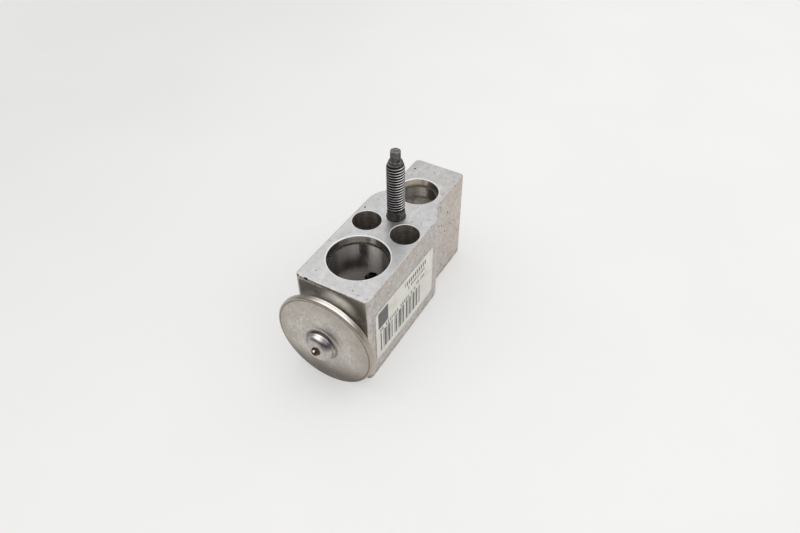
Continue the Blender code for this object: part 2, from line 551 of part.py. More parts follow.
def add_damper(axis, steel):
    """A sheet ring on the carrier's nose, with three legs that press on the chamber's wall."""
    outer = CHAMBER_RADIUS - RUNNING_GAP
    inner = CARRIER_NOSE_RADIUS + RUNNING_GAP
    back = CARRIER_FLANGE_Y - SEAT_GAP
    front = back - DAMPER_SHEET
    ring_edge = CARRIER_FLANGE_RADIUS - DAMPER_SHEET
    ring = [(inner, front), (ring_edge, front), (ring_edge, back), (inner, back)]
    washer = turned_mesh("damper_spring", ring, DAMPER_STEPS)
    damper = add_object("damper_spring", washer, axis, material=steel)
    tip = front - DAMPER_LEG_LENGTH
    leg = [(ring_edge - DAMPER_SHEET, front), (outer - DAMPER_SHEET, front), (outer - DAMPER_SHEET, tip),
           (outer, tip), (outer, back), (ring_edge - DAMPER_SHEET, back)]
    for i in range(DAMPER_LEGS):
        name = f"damper_leg_{i + 1}"
        start = 2 * math.pi * i / DAMPER_LEGS - DAMPER_LEG_ANGLE / 2
        mesh = turned_mesh(name, leg, DAMPER_LEG_STEPS, DAMPER_LEG_ANGLE)
        cut(damper, name, mesh, axis, rotation=(0, 0, start), operation="UNION")


def add_spring(axis, steel):
    """The coil spring from the carrier's flange to the floor of the screw's pocket. Its first and
    last turns are closed, and the turns between them share the rest of its length."""
    start = CARRIER_BACK_Y + SEAT_GAP + SPRING_WIRE_RADIUS
    end = SPRING_POCKET_Y - SEAT_GAP - SPRING_WIRE_RADIUS
    closed_pitch = 2 * SPRING_WIRE_RADIUS + SEAT_GAP
    open_turns = SPRING_TURNS - 2 * SPRING_CLOSED_TURNS
    open_pitch = (end - start - 2 * SPRING_CLOSED_TURNS * closed_pitch) / open_turns
    count = SPRING_TURNS * SPRING_POINTS_PER_TURN
    curve = bpy.data.curves.new("superheat_spring", "CURVE")
    curve.dimensions = "3D"
    curve.bevel_depth = SPRING_WIRE_RADIUS
    curve.bevel_resolution = 2
    curve.use_fill_caps = True
    spline = curve.splines.new("POLY")
    spline.points.add(count)
    for i, point in enumerate(spline.points):
        turns = i / SPRING_POINTS_PER_TURN
        opened = min(max(turns - SPRING_CLOSED_TURNS, 0), open_turns)
        place = start + (turns - opened) * closed_pitch + opened * open_pitch
        angle = 2 * math.pi * turns
        point.co = (SPRING_RADIUS * math.cos(angle), SPRING_RADIUS * math.sin(angle), place, 1)
    add_object("superheat_spring", curve, axis, material=steel)


def make_adjuster(axis, brass, rubber):
    """The adjusting screw with its spring pocket, seal groove and hex socket."""
    pocket = SPRING_RADIUS + SPRING_WIRE_RADIUS + 2 * RUNNING_GAP
    groove_end = GROOVE_Y + ADJUSTER_GROOVE_WIDTH
    screw = [(0, SPRING_POCKET_Y), (pocket, SPRING_POCKET_Y), (pocket, SCREW_FRONT_Y),
             (SCREW_RADIUS - ROD_CHAMFER, SCREW_FRONT_Y), (SCREW_RADIUS, SCREW_FRONT_Y + ROD_CHAMFER),
             (SCREW_RADIUS, GROOVE_Y), (GROOVE_RADIUS, GROOVE_Y), (GROOVE_RADIUS, groove_end),
             (SCREW_RADIUS, groove_end), (SCREW_RADIUS, SCREW_BACK_Y - ADJUSTER_CHAMFER),
             (SCREW_RADIUS - ADJUSTER_CHAMFER, SCREW_BACK_Y), (0, SCREW_BACK_Y)]
    adjuster = add_object("adjusting_screw", turned_mesh("adjusting_screw", screw, BORE_STEPS), axis,
                          material=brass)
    corner = SOCKET_ACROSS_FLATS / math.sqrt(3)
    hexagon = arc((0, 0), corner, 0, 2 * math.pi, 7)[:-1]
    depths = (SCREW_BACK_Y - SOCKET_DEPTH, SCREW_BACK_Y + CUTTER_OVERRUN)
    socket = lofted_mesh("socket_cutter", [[(x, y, z) for x, y in hexagon] for z in depths])
    cut(adjuster, "socket_cutter", socket, axis)

    wire = ADJUSTER_RING_WIRE - SEAT_GAP / 2
    radius = GROOVE_RADIUS + SEAT_GAP + wire
    add_seal_ring("adjuster_o_ring", axis, radius, wire, GROOVE_Y + ADJUSTER_GROOVE_WIDTH / 2, rubber)


def make_label(frame, paper):
    """The label on the block's +X side, between the near corner and the shoulder."""
    length = SHOULDER_Y - LABEL_END_MARGIN - LABEL_START_Y
    corners = ((LABEL_CORNER, LABEL_CORNER, math.pi), (length - LABEL_CORNER, LABEL_CORNER, 1.5 * math.pi),
               (length - LABEL_CORNER, LABEL_HEIGHT - LABEL_CORNER, 0),
               (LABEL_CORNER, LABEL_HEIGHT - LABEL_CORNER, math.pi / 2))
    outline = []
    for y, z, start in corners:
        outline += arc((y, z), LABEL_CORNER, start, start + math.pi / 2, CORNER_POINTS)
    rings = [[(x, y, z) for y, z in outline] for x in (LABEL_GAP, LABEL_GAP + LABEL_THICKNESS)]
    mesh = lofted_mesh("label", rings)
    add_object("label", mesh, frame, (BLOCK_WIDTH / 2, LABEL_START_Y, LABEL_BOTTOM), paper)


clear_scene()
block_frame = make_empty("block_frame", (0, -ORIGIN_Y, 0), (0, 0, 0))
# Z along this empty runs along the valve's axis, from the near end face towards +Y
valve_axis = make_empty("valve_axis", (0, -ORIGIN_Y, AXIS_HEIGHT), (-math.pi / 2, 0, 0))

aluminium = make_material("machined_aluminium", (0.60, 0.60, 0.60), 1.0, 0.38)
stud_steel = make_material("phosphated_steel", (0.07, 0.065, 0.065), 0.8, 0.5)
stainless = make_material("stainless_steel", (0.50, 0.47, 0.43), 1.0, 0.32)
yellow_brass = make_material("turned_brass", (0.68, 0.50, 0.24), 1.0, 0.3)
seal_rubber = make_material("seal_rubber", (0.02, 0.02, 0.022), 0.0, 0.6)
label_paper = make_material("label_paper", (0.74, 0.73, 0.68), 0.0, 0.55)

make_block(block_frame, valve_axis, aluminium)
make_stud(block_frame, stud_steel)
make_capsule(valve_axis, stainless, seal_rubber)
make_valve_train(valve_axis, stainless, yellow_brass, seal_rubber)
make_adjuster(valve_axis, yellow_brass, seal_rubber)
make_label(block_frame, label_paper)
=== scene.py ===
"""Block-type expansion valve for a vehicle's air conditioning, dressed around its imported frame.

Lengths are in millimetres where a name ends in _mm, and in metres everywhere else. A point of
the block is given as (x, y, z), with y counted from the near end face and z from its underside.
The block's, stud's, capsule's and label's materials measure their places in millimetres too, with
y counted from the frame's origin.
"""

import math

import bmesh
import bpy
from mathutils import Matrix, Vector


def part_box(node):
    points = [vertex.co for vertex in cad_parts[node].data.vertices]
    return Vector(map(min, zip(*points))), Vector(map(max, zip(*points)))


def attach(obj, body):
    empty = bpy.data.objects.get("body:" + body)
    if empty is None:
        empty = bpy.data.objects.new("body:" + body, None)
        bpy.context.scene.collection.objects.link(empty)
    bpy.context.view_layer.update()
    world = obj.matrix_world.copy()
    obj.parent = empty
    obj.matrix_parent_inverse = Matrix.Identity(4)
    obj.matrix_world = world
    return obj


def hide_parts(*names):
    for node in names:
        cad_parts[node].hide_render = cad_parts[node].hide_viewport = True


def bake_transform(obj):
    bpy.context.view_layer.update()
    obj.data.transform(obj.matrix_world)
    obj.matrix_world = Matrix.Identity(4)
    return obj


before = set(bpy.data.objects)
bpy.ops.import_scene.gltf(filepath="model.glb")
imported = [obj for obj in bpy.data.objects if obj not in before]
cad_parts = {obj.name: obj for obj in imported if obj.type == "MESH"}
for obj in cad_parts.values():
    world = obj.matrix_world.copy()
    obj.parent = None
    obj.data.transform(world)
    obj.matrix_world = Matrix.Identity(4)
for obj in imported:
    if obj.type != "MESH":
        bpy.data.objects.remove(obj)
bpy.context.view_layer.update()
block_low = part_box("valve_body")[0]
scene = bpy.context.scene


# Camera
# Its lens, place and three angles were solved from the block's edges, the port circles and the
# stud in the photograph. It looks down on the near end, the top and the side with the label.
lens_mm = 31.044
camera_place_mm = (90.096, -113.051, 182.381)
azimuth_degrees = 30.26246
elevation_degrees = 43.86265
roll_degrees = -0.35419


def from_block(point_mm):
    """A point of the block, in millimetres from its near end and underside, in the row's frame."""
    x, y, z = point_mm
    return Vector((x / 1000, block_low.y + y / 1000, block_low.z + z / 1000))


camera_data = bpy.data.cameras.new("studio_camera")
camera_data.sensor_width = 36
camera_data.lens = lens_mm
camera_data.clip_start = 0.01
camera_data.clip_end = 20
camera = bpy.data.objects.new("studio_camera", camera_data)
swing = Matrix.Rotation(math.radians(azimuth_degrees), 4, "Z")
tilt = Matrix.Rotation(math.radians(90 - elevation_degrees), 4, "X")
roll = Matrix.Rotation(math.radians(roll_degrees), 4, "Z")
camera.matrix_world = Matrix.Translation(from_block(camera_place_mm)) @ swing @ tilt @ roll
scene.collection.objects.link(camera)
scene.camera = camera
scene.view_settings.view_transform = "Standard"


# Floor, room and lamps
# A sheet of off-white paper in a pale room with a bright ceiling and darker walls. One broad lamp
# hangs high on the left, and a weaker one fills from the right.
paper_colour = (0.885, 0.885, 0.872, 1)
fibre_colour = (0.9, 0.9, 0.888, 1)
backdrop_colour = (0.9, 0.9, 0.89, 1)
black = (0.0, 0.0, 0.0, 1)
floor_gap = 0.00003
room_lamps = (
    ("key_lamp", (-0.34, -0.06, 0.74), 0.60, 0.42, (1.0, 0.985, 0.965)),
    ("fill_lamp", (0.48, 0.12, 0.66), 0.60, 0.48, (0.97, 0.985, 1.0)),
)


def set_inputs(tree, node, inputs):
    """Gives a node its inputs: a plain value is set, and an output socket is linked."""
    for key, value in inputs.items():
        if isinstance(value, bpy.types.NodeSocket):
            tree.links.new(value, node.inputs[key])
        else:
            node.inputs[key].default_value = value


def add_node(tree, kind, settings=None, inputs=None):
    made = tree.nodes.new(kind)
    for name, value in (settings or {}).items():
        setattr(made, name, value)
    set_inputs(tree, made, inputs or {})
    return made


def new_material(name):
    """An empty material: its tree and its Principled BSDF, linked to the output."""
    material = bpy.data.materials.new(name)
    material.use_nodes = True
    tree = material.node_tree
    tree.nodes.clear()
    shader = add_node(tree, "ShaderNodeBsdfPrincipled")
    add_node(tree, "ShaderNodeOutputMaterial", inputs={"Surface": shader.outputs["BSDF"]})
    return material, tree, shader


def maths(tree, operation, first, second=0.0, third=0.0):
    inputs = {0: first, 1: second, 2: third}
    return add_node(tree, "ShaderNodeMath", {"operation": operation}, inputs).outputs[0]


def times(tree, first, *others):
    """The product of two or more values or masks."""
    for value in others:
        first = maths(tree, "MULTIPLY", first, value)
    return first


def ramp(tree, value, low, high, low_to=0.0, high_to=1.0):
    """Smoothly maps a value from low..high to low_to..high_to."""
    inputs = {"Value": value, "From Min": low, "From Max": high, "To Min": low_to, "To Max": high_to}
    mapped = add_node(tree, "ShaderNodeMapRange", {"interpolation_type": "SMOOTHSTEP"}, inputs)
    return mapped.outputs["Result"]


def mix_colour(tree, factor, first, second, blend="MIX"):
    settings = {"data_type": "RGBA", "blend_type": blend}
    inputs = {0: factor, 6: first, 7: second}
    return add_node(tree, "ShaderNodeMix", settings, inputs).outputs[2]


def mix_number(tree, factor, first, second):
    inputs = {0: factor, 2: first, 3: second}
    return add_node(tree, "ShaderNodeMix", {"data_type": "FLOAT"}, inputs).outputs[0]


def xyz_of(tree, vector):
    return add_node(tree, "ShaderNodeSeparateXYZ", inputs={0: vector}).outputs


def noise(tree, place, scale, detail, roughness=0.5):
    inputs = {"Vector": place, "Scale": scale, "Detail": detail, "Roughness": roughness}
    return add_node(tree, "ShaderNodeTexNoise", inputs=inputs).outputs["Fac"]


world = bpy.data.worlds.new("pale_room")
scene.world = world
world.use_nodes = True
room = world.node_tree
room.nodes.clear()
toward = xyz_of(room, add_node(room, "ShaderNodeTexCoord").outputs["Generated"])
walls = ramp(room, maths(room, "MULTIPLY_ADD", toward["Y"], 0.5, 0.5), 0.2, 0.8, 0.07, 0.30)
horizon = mix_number(room, ramp(room, toward["Z"], 0.0, 0.14), 0.8, walls)
tilted_up = maths(room, "MULTIPLY_ADD", toward["Y"], 0.13, toward["Z"])
mirrored = mix_number(room, ramp(room, tilted_up, 0.50, 0.72), horizon, 1.22)
soft_light = ramp(room, toward["Z"], 0.0, 0.8, 0.96, 0.90)
soft_light = maths(room, "MULTIPLY_ADD", toward["X"], 0.14, soft_light)
ray = add_node(room, "ShaderNodeLightPath").outputs
glow = mix_number(room, ray["Is Diffuse Ray"], mirrored, soft_light)
room_colour = add_node(room, "ShaderNodeCombineColor", inputs={"Red": glow, "Green": glow, "Blue": glow})
seen = maths(room, "MAXIMUM", ray["Is Camera Ray"], ray["Is Transmission Ray"])
seen_colour = mix_colour(room, seen, room_colour.outputs["Color"], backdrop_colour)
room_light = add_node(room, "ShaderNodeBackground", inputs={"Color": seen_colour})
add_node(room, "ShaderNodeOutputWorld", inputs={"Surface": room_light.outputs["Background"]})

for name, place, size, watts, colour in room_lamps:
    lamp_data = bpy.data.lights.new(name, "AREA")
    lamp_data.shape = "DISK"
    lamp_data.size = size
    lamp_data.energy = watts
    lamp_data.color = colour
    lamp = bpy.data.objects.new(name, lamp_data)
    lamp.location = place
    lamp.rotation_euler = (-Vector(place)).to_track_quat("-Z", "Y").to_euler()
    scene.collection.objects.link(lamp)

# Where it is seen, the paper glows by itself for part of its brightness, so its shadows stay pale.
# A little shade towards the left is painted into it.
paper, tree, shader = new_material("floor_paper")
on_floor = add_node(tree, "ShaderNodeTexCoord").outputs["Object"]
fibre = ramp(tree, noise(tree, on_floor, 14.0, 4.0), 0.3, 0.7)
shade = mix_colour(tree, fibre, paper_colour, fibre_colour)
to_left = ramp(tree, xyz_of(tree, on_floor)["X"], 0.02, -0.26, 0.0, 0.125)
shade = mix_colour(tree, to_left, shade, black)
ray = add_node(tree, "ShaderNodeLightPath").outputs
seen = maths(tree, "MAXIMUM", ray["Is Camera Ray"], ray["Is Transmission Ray"])
seen = maths(tree, "MAXIMUM", seen, ray["Is Glossy Ray"])
set_inputs(tree, shader, {
    "Base Color": mix_colour(tree, times(tree, seen, 0.4), shade, black), "Emission Color": shade,
    "Emission Strength": times(tree, seen, 0.39), "Roughness": 0.75, "Specular IOR Level": 0.15})
floor_bm = bmesh.new()
bmesh.ops.create_grid(floor_bm, x_segments=2, y_segments=2, size=3)
floor_data = bpy.data.meshes.new("floor")
floor_bm.to_mesh(floor_data)
floor_bm.free()
floor = bpy.data.objects.new("floor", floor_data)
floor.location.z = -floor_gap
floor.data.materials.append(paper)
scene.collection.objects.link(floor)


# Block
# A length of extruded aluminium: the saw gave it its ends and the mill its two port faces, and the
# ports, screw recesses and the long bore were turned into it. It has nicks, stains and scratches.
block_width_mm = 26.0
block_narrow_mm = 19.2
block_length_mm = 70.8
block_height_mm = 36.0
corner_mm = 1.5
corner_steps = 8
shoulder_steps = 18
shoulder_start_mm = 42.2
shoulder_round_mm = 9.9
shoulder_fillet_mm = 3.5
edge_round_mm = 0.38
edge_sharp_degrees = 28
axis_height_mm = 17.45
suction_place_mm = 15.7
suction_entry_mm = 10.1
suction_bore_mm = 9.3
suction_middle_mm = 20.0
suction_steps = 112
outlet_place_mm = 42.0
outlet_floor_mm = 7.55
inlet_place_mm = 54.1
inlet_floor_mm = 28.55
liquid_entry_mm = 7.1
liquid_bore_mm = 6.4
liquid_steps = 96
inlet_feed_mm = 3.0
inlet_feed_shift_mm = 2.6
outlet_feed_mm = 3.3
port_depth_mm = 2.8
port_edge_mm = 0.34
bolt_place_mm = (7.2, 32.2)
bolt_hole_mm = 2.9
bolt_recess_mm = 4.9
bolt_floor_mm = 22.5
bolt_edge_mm = 0.15
hole_edge_mm = 0.2
stud_place_mm = 39.0
stud_hole_mm = 2.75
stud_counterbore_mm = 3.4
stud_seat_mm = 35.2
wide_hole_steps = 72
narrow_hole_steps = 48
past_mm = 1.0


def arc_points(centre, radius, start, end, steps):
    """Points on a circle's arc, both ends included."""
    angles = [start + (end - start) * i / steps for i in range(steps + 1)]
    return [(centre[0] + radius * math.cos(a), centre[1] + radius * math.sin(a)) for a in angles]


def quarter_turn(steps):
    return [math.pi / 2 * i / steps for i in range(steps + 1)]


def turned(bm, profile_mm, steps, centre_mm, along="Z", closed=False, pick=None):
    """Turns a profile of (radius, place) about an upright line, or about the valve's axis. Where
    pick is given, it tells the finish of each stretch from the stretch's start and end."""
    rings = []
    for radius, place in profile_mm:
        ring = []
        for i in range(steps if radius > 0 else 1):
            angle = 2 * math.pi * i / steps
            side, rise = radius * math.cos(angle), radius * math.sin(angle)
            if along == "Z":
                point = (centre_mm[0] + side, centre_mm[1] + rise, place)
            else:
                point = (centre_mm[0] + side, place, centre_mm[1] + rise)
            ring.append(bm.verts.new(from_block(point)))
        rings.append(ring)
    pairs = list(zip(rings, rings[1:], profile_mm, profile_mm[1:]))
    if closed:
        pairs.append((rings[-1], rings[0], profile_mm[-1], profile_mm[0]))
    for low, high, start, end in pairs:
        finish = pick(start, end) if pick else 0
        for i in range(steps):
            corners = [low[i % len(low)], low[(i + 1) % steps % len(low)],
                       high[(i + 1) % steps % len(high)], high[i % len(high)]]
            distinct = list(dict.fromkeys(corners))
            if len(distinct) > 2:
                bm.faces.new(distinct).material_index = finish


def bridged(bm, loops):
    """Walls from each closed loop of points to the next."""
    walls = []
    for low, high in zip(loops, loops[1:]):
        for i in range(len(low)):
            j = (i + 1) % len(low)
            walls.append(bm.faces.new((low[i], low[j], high[j], high[i])))
    return walls


def block_outline(inset_mm):
    """The block seen from above, drawn in: wide near part, shoulders and narrow far part."""
    half_wide = block_width_mm / 2 - inset_mm
    half_narrow = block_narrow_mm / 2 - inset_mm
    corner = corner_mm - inset_mm
    convex = shoulder_round_mm - inset_mm
    concave = shoulder_fillet_mm + inset_mm
    bend = math.acos(1 - (half_wide - half_narrow) / (convex + concave))
    right = arc_points((half_wide - corner, inset_mm + corner), corner, -math.pi / 2, 0, corner_steps)
    right += arc_points((half_wide - convex, shoulder_start_mm), convex, 0, bend, shoulder_steps)
    fillet = (half_narrow + concave, shoulder_start_mm + (convex + concave) * math.sin(bend))
    right += arc_points(fillet, concave, math.pi + bend, math.pi, corner_steps)[1:]
    far_corner = (half_narrow - corner, block_length_mm - inset_mm - corner)
    right += arc_points(far_corner, corner, 0, math.pi / 2, corner_steps)
    return right + [(-x, y) for x, y in reversed(right)]


def made_piece(name, bm, materials, body, replaced=(), sharp_degrees=32, weighted=True):
    """Makes a piece of what was modelled: outward faces, smooth shading, a body and its nodes."""
    bmesh.ops.remove_doubles(bm, verts=bm.verts, dist=2e-7)
    bmesh.ops.recalc_face_normals(bm, faces=bm.faces)
    data = bpy.data.meshes.new(name)
    bm.to_mesh(data)
    bm.free()
    for material in materials:
        data.materials.append(material)
    data.shade_smooth()
    data.set_sharp_from_angle(angle=math.radians(sharp_degrees))
    piece = bpy.data.objects.new(name, data)
    scene.collection.objects.link(piece)
    if weighted:
        modifier = piece.modifiers.new("even_shading", "WEIGHTED_NORMAL")
        modifier.keep_sharp = True
    if body:
        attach(piece, body)
    if replaced:
        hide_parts(*replaced)
    return piece


def made_group(name, inputs, outputs):
    """A shader node group with named sockets: (name, kind, start value) in, and names out."""
    group = bpy.data.node_groups.new(name, "ShaderNodeTree")
    for label, kind, value in inputs:
        socket = group.interface.new_socket(label, in_out="INPUT", socket_type=kind)
        if value is not None:
            socket.default_value = value
    for label in outputs:
        group.interface.new_socket(label, in_out="OUTPUT", socket_type="NodeSocketFloat")
    return group, group.nodes.new("NodeGroupInput").outputs, group.nodes.new("NodeGroupOutput")


number, vector = "NodeSocketFloat", "NodeSocketVector"

# Edge wear: bright metal where a corner has rubbed, broken up by noise
edge_wear, given, result = made_group(
    "edge_wear", (("Place", vector, None), ("Reach", number, 0.0004), ("Breakup", number, 1.2)), ("Mask",))
rounded = add_node(edge_wear, "ShaderNodeBevel", {"samples": 4}, {"Radius": given["Reach"]})
true_normal = add_node(edge_wear, "ShaderNodeNewGeometry").outputs["Normal"]
facing = add_node(edge_wear, "ShaderNodeVectorMath", {"operation": "DOT_PRODUCT"},
                  {0: rounded.outputs["Normal"], 1: true_normal}).outputs["Value"]
rub_and_highlight = ramp(edge_wear, noise(edge_wear, given["Place"], given["Breakup"], 4.0), 0.38, 0.6)
set_inputs(edge_wear, result, {"Mask": times(edge_wear, ramp(edge_wear, facing, 0.999, 0.93), rub_and_highlight)})

# Handling marks: hair-thin scratches in three directions, and soft smudges
handling_marks, given, result = made_group(
    "handling_marks", (("Place", vector, None), ("Spacing", number, 0.35), ("Share", number, 0.5)),
    ("Scratches", "Smudges"))
scratches = 0.0
for tilt, seed in ((0.5, 0.0), (-0.9, 31.0), (1.9, 77.0)):
    drawn = add_node(handling_marks, "ShaderNodeMapping", inputs={
        "Vector": given["Place"], "Location": (seed, seed, 0), "Rotation": (tilt * 0.7, tilt, tilt),
        "Scale": (1.0, 0.06, 1.0)}).outputs["Vector"]
    waves = noise(handling_marks, drawn, given["Spacing"], 3.0, 0.7)
    off_line = maths(handling_marks, "ABSOLUTE", maths(handling_marks, "SUBTRACT", waves, 0.5))
    line = ramp(handling_marks, off_line, 0.012, 0.002)
    scratches = maths(handling_marks, "MAXIMUM", scratches, line)
kept = ramp(handling_marks, noise(handling_marks, given["Place"], 0.12, 3.0), 0.48, 0.66)
set_inputs(handling_marks, result, {
    "Scratches": times(handling_marks, scratches, kept, given["Share"]),
    "Smudges": ramp(handling_marks, noise(handling_marks, given["Place"], 0.2, 6.0, 0.65), 0.35, 0.7)})

# Metal grain: a fine, uneven mottle, which can be drawn out along one direction, and a few pits
metal_grain, given, result = made_group(
    "metal_grain", (("Place", vector, None), ("Drawn Out", vector, (1, 1, 1)), ("Fineness", number, 2.0)),
    ("Mottle", "Height", "Pits"))
drawn = add_node(metal_grain, "ShaderNodeVectorMath", {"operation": "MULTIPLY"},
                 {0: given["Place"], 1: given["Drawn Out"]}).outputs["Vector"]
fine = noise(metal_grain, drawn, given["Fineness"], 6.0, 0.7)
blotch = noise(metal_grain, drawn, 0.45, 3.0, 0.6)
mottle = maths(metal_grain, "MULTIPLY_ADD", fine, 0.72, times(metal_grain, blotch, 0.28))
cells = add_node(metal_grain, "ShaderNodeTexVoronoi",
                 inputs={"Vector": given["Place"], "Scale": 0.42, "Randomness": 1.0})
chance = add_node(metal_grain, "ShaderNodeTexWhiteNoise", {"noise_dimensions": "3D"},
                  {"Vector": cells.outputs["Position"]}).outputs["Value"]
pits = times(metal_grain, ramp(metal_grain, cells.outputs["Distance"], 0.16, 0.06),
             ramp(metal_grain, chance, 0.86, 0.9))
set_inputs(metal_grain, result, {
    "Mottle": ramp(metal_grain, mottle, 0.32, 0.68), "Height": fine, "Pits": pits})

# Tool lines: the close rings or strokes that a cutting edge leaves
tool_lines, given, result = made_group(
    "tool_lines", (("Distance", number, 0.0), ("Feed", number, 6.0)), ("Height",))
strokes = add_node(tool_lines, "ShaderNodeTexNoise", {"noise_dimensions": "1D"},
                   {"W": given["Distance"], "Scale": given["Feed"], "Detail": 2.0, "Roughness": 0.6})
set_inputs(tool_lines, result, {"Height": strokes.outputs["Fac"]})


def millimetres(tree):
    """The surface's own place, in millimetres."""
    place = add_node(tree, "ShaderNodeTexCoord").outputs["Object"]
    scaled = add_node(tree, "ShaderNodeVectorMath", {"operation": "SCALE"}, {0: place, "Scale": 1000.0})
    return scaled.outputs["Vector"]


def placed_group(tree, group, inputs):
    return add_node(tree, "ShaderNodeGroup", {"node_tree": group}, inputs).outputs


def grain_on(tree, place, fineness, drawn_out=(1, 1, 1)):
    return placed_group(tree, metal_grain, {"Place": place, "Drawn Out": drawn_out, "Fineness": fineness})


def marks_on(tree, place, spacing, share):
    return placed_group(tree, handling_marks, {"Place": place, "Spacing": spacing, "Share": share})


def wear_on(tree, place, reach, breakup):
    return placed_group(tree, edge_wear, {"Place": place, "Reach": reach, "Breakup": breakup})["Mask"]


def rings_on(tree, distance, feed):
    return placed_group(tree, tool_lines, {"Distance": distance, "Feed": feed})["Height"]


def band(tree, value, rise, fall, height=1.0):
    """A mask that rises over one range of a value and falls again over another."""
    return times(tree, ramp(tree, value, *rise), ramp(tree, value, *fall, height, 0.0))


def distance_of(tree, side, rise):
    """How far a point lies from a line, by its distances to the side and upward."""
    squares = maths(tree, "ADD", maths(tree, "POWER", side, 2.0), maths(tree, "POWER", rise, 2.0))
    return maths(tree, "SQRT", squares)


def layered(tree, colour, layers):
    """Lays colours over a first one in turn, each as far as its mask goes."""
    for mask, laid in layers:
        colour = mix_colour(tree, mask, colour, laid)
    return colour


def bumped(tree, shader, height, strength, depth_mm=0.02):
    """Feeds a height into the shader's Normal."""
    bump = add_node(tree, "ShaderNodeBump",
                    inputs={"Height": height, "Strength": strength, "Distance": depth_mm / 1000})
    tree.links.new(bump.outputs["Normal"], shader.inputs["Normal"])


worn_aluminium = (0.80, 0.80, 0.79, 1)


def block_aluminium(name, dark, light, rough, drawn_out, fineness, stain, speckled, metallic=1.0,
                    painted_arc=False):
    """Bare aluminium with mottle, pits, scratches, stains, specks and bright rubbed edges. Its foot is
    darker, partly with dirt and partly with painted shade. On the near end, shade behind the capsule
    and an arc of light beside it are painted into the colour."""
    material, tree, shader = new_material(name)
    place = millimetres(tree)
    spot = xyz_of(tree, place)
    grain = grain_on(tree, place, fineness, drawn_out)
    marks = marks_on(tree, place, 0.5, 0.55)
    wear = wear_on(tree, place, 0.0005, 0.9)
    blots = noise(tree, place, 0.55, 5.0, 0.72)
    stained_end = times(tree, ramp(tree, spot["Y"], 14.0, 40.0), ramp(tree, blots, 0.35, 0.6, 0.15, 0.7))
    # Darker towards the foot in blotches: partly dirt, partly painted shade
    foot_dirt_and_shade = ramp(tree, spot["Z"], 0.3, 2.6, 1.0, 0.0)
    layers = [
        (times(tree, marks["Smudges"], 0.6), stain),
        (stained_end, stain),
        (times(tree, foot_dirt_and_shade, ramp(tree, blots, 0.35, 0.62, 0.15, 0.75)), (0.20, 0.17, 0.14, 1)),
        (ramp(tree, blots, 0.585, 0.72, 0.0, speckled), (0.13, 0.115, 0.10, 1)),
        (ramp(tree, blots, 0.42, 0.30, 0.0, 0.6 * speckled), worn_aluminium)]
    if painted_arc:
        reach = distance_of(tree, spot["X"], maths(tree, "SUBTRACT", spot["Z"], axis_height_mm))
        arc = times(tree, band(tree, reach, (11.0, 14.8), (15.2, 18.2)),
                    band(tree, spot["X"], (-5.0, 3.0), (5.0, 10.5)), ramp(tree, spot["Z"], 22.0, 29.0),
                    ramp(tree, spot["Y"], -20.0, -25.0), ramp(tree, blots, 0.36, 0.54, 0.84, 1.0))
        metallic = mix_number(tree, arc, metallic, 0.0)
        behind_capsule = ramp(tree, reach, 21.5, 16.0, 0.0, 0.6)
        layers += [(behind_capsule, (0.12, 0.10, 0.08, 1)), (arc, (1.0, 0.95, 0.86, 1))]
    layers += [(marks["Scratches"], worn_aluminium), (wear, worn_aluminium),
               (grain["Pits"], (0.07, 0.06, 0.055, 1))]
    roughness = ramp(tree, grain["Mottle"], 0.0, 1.0, rough + 0.06, rough - 0.05)
    set_inputs(tree, shader, {
        "Base Color": layered(tree, mix_colour(tree, grain["Mottle"], dark, light), layers),
        "Roughness": mix_number(tree, wear, roughness, 0.28), "Metallic": metallic})
    bumped(tree, shader, maths(tree, "SUBTRACT", grain["Height"], grain["Pits"]), 0.35, 0.03)
    return material


milled_face = block_aluminium(
    "milled_aluminium", dark=(0.48, 0.48, 0.485, 1), light=(0.71, 0.71, 0.72, 1), rough=0.40,
    drawn_out=(1.0, 1.0, 1.0), fineness=3.2, stain=(0.52, 0.505, 0.48, 1), speckled=0.5)
extruded_wall = block_aluminium(
    "extruded_aluminium", dark=(0.40, 0.37, 0.35, 1), light=(0.70, 0.68, 0.66, 1), rough=0.40,
    drawn_out=(1.0, 1.0, 0.8), fineness=1.3, stain=(0.55, 0.455, 0.385, 1), speckled=1.0)
# The end faces are darker and browner than the sides: the sawn finish, and partly painted shade
sawn_and_shaded_end = block_aluminium(
    "sawn_and_shaded_aluminium", dark=(0.26, 0.235, 0.20, 1), light=(0.36, 0.33, 0.285, 1), rough=0.46,
    drawn_out=(1.0, 1.0, 1.0), fineness=2.2, stain=(0.26, 0.23, 0.19, 1), speckled=0.0, metallic=0.6,
    painted_arc=True)


def painted_band_ramp(tree, turn, stops):
    """Painted light and shade round a bore, from stops of (turn from 0 to 1, brightness)."""
    bands = add_node(tree, "ShaderNodeValToRGB", inputs={"Fac": turn})
    made = bands.color_ramp
    made.interpolation = "EASE"
    for count, (at_turn, level) in enumerate(stops):
        stop = made.elements[count] if count < 2 else made.elements.new(at_turn)
        stop.position = at_turn
        stop.color = (level, level, level, 1)
    return bands.outputs["Color"]


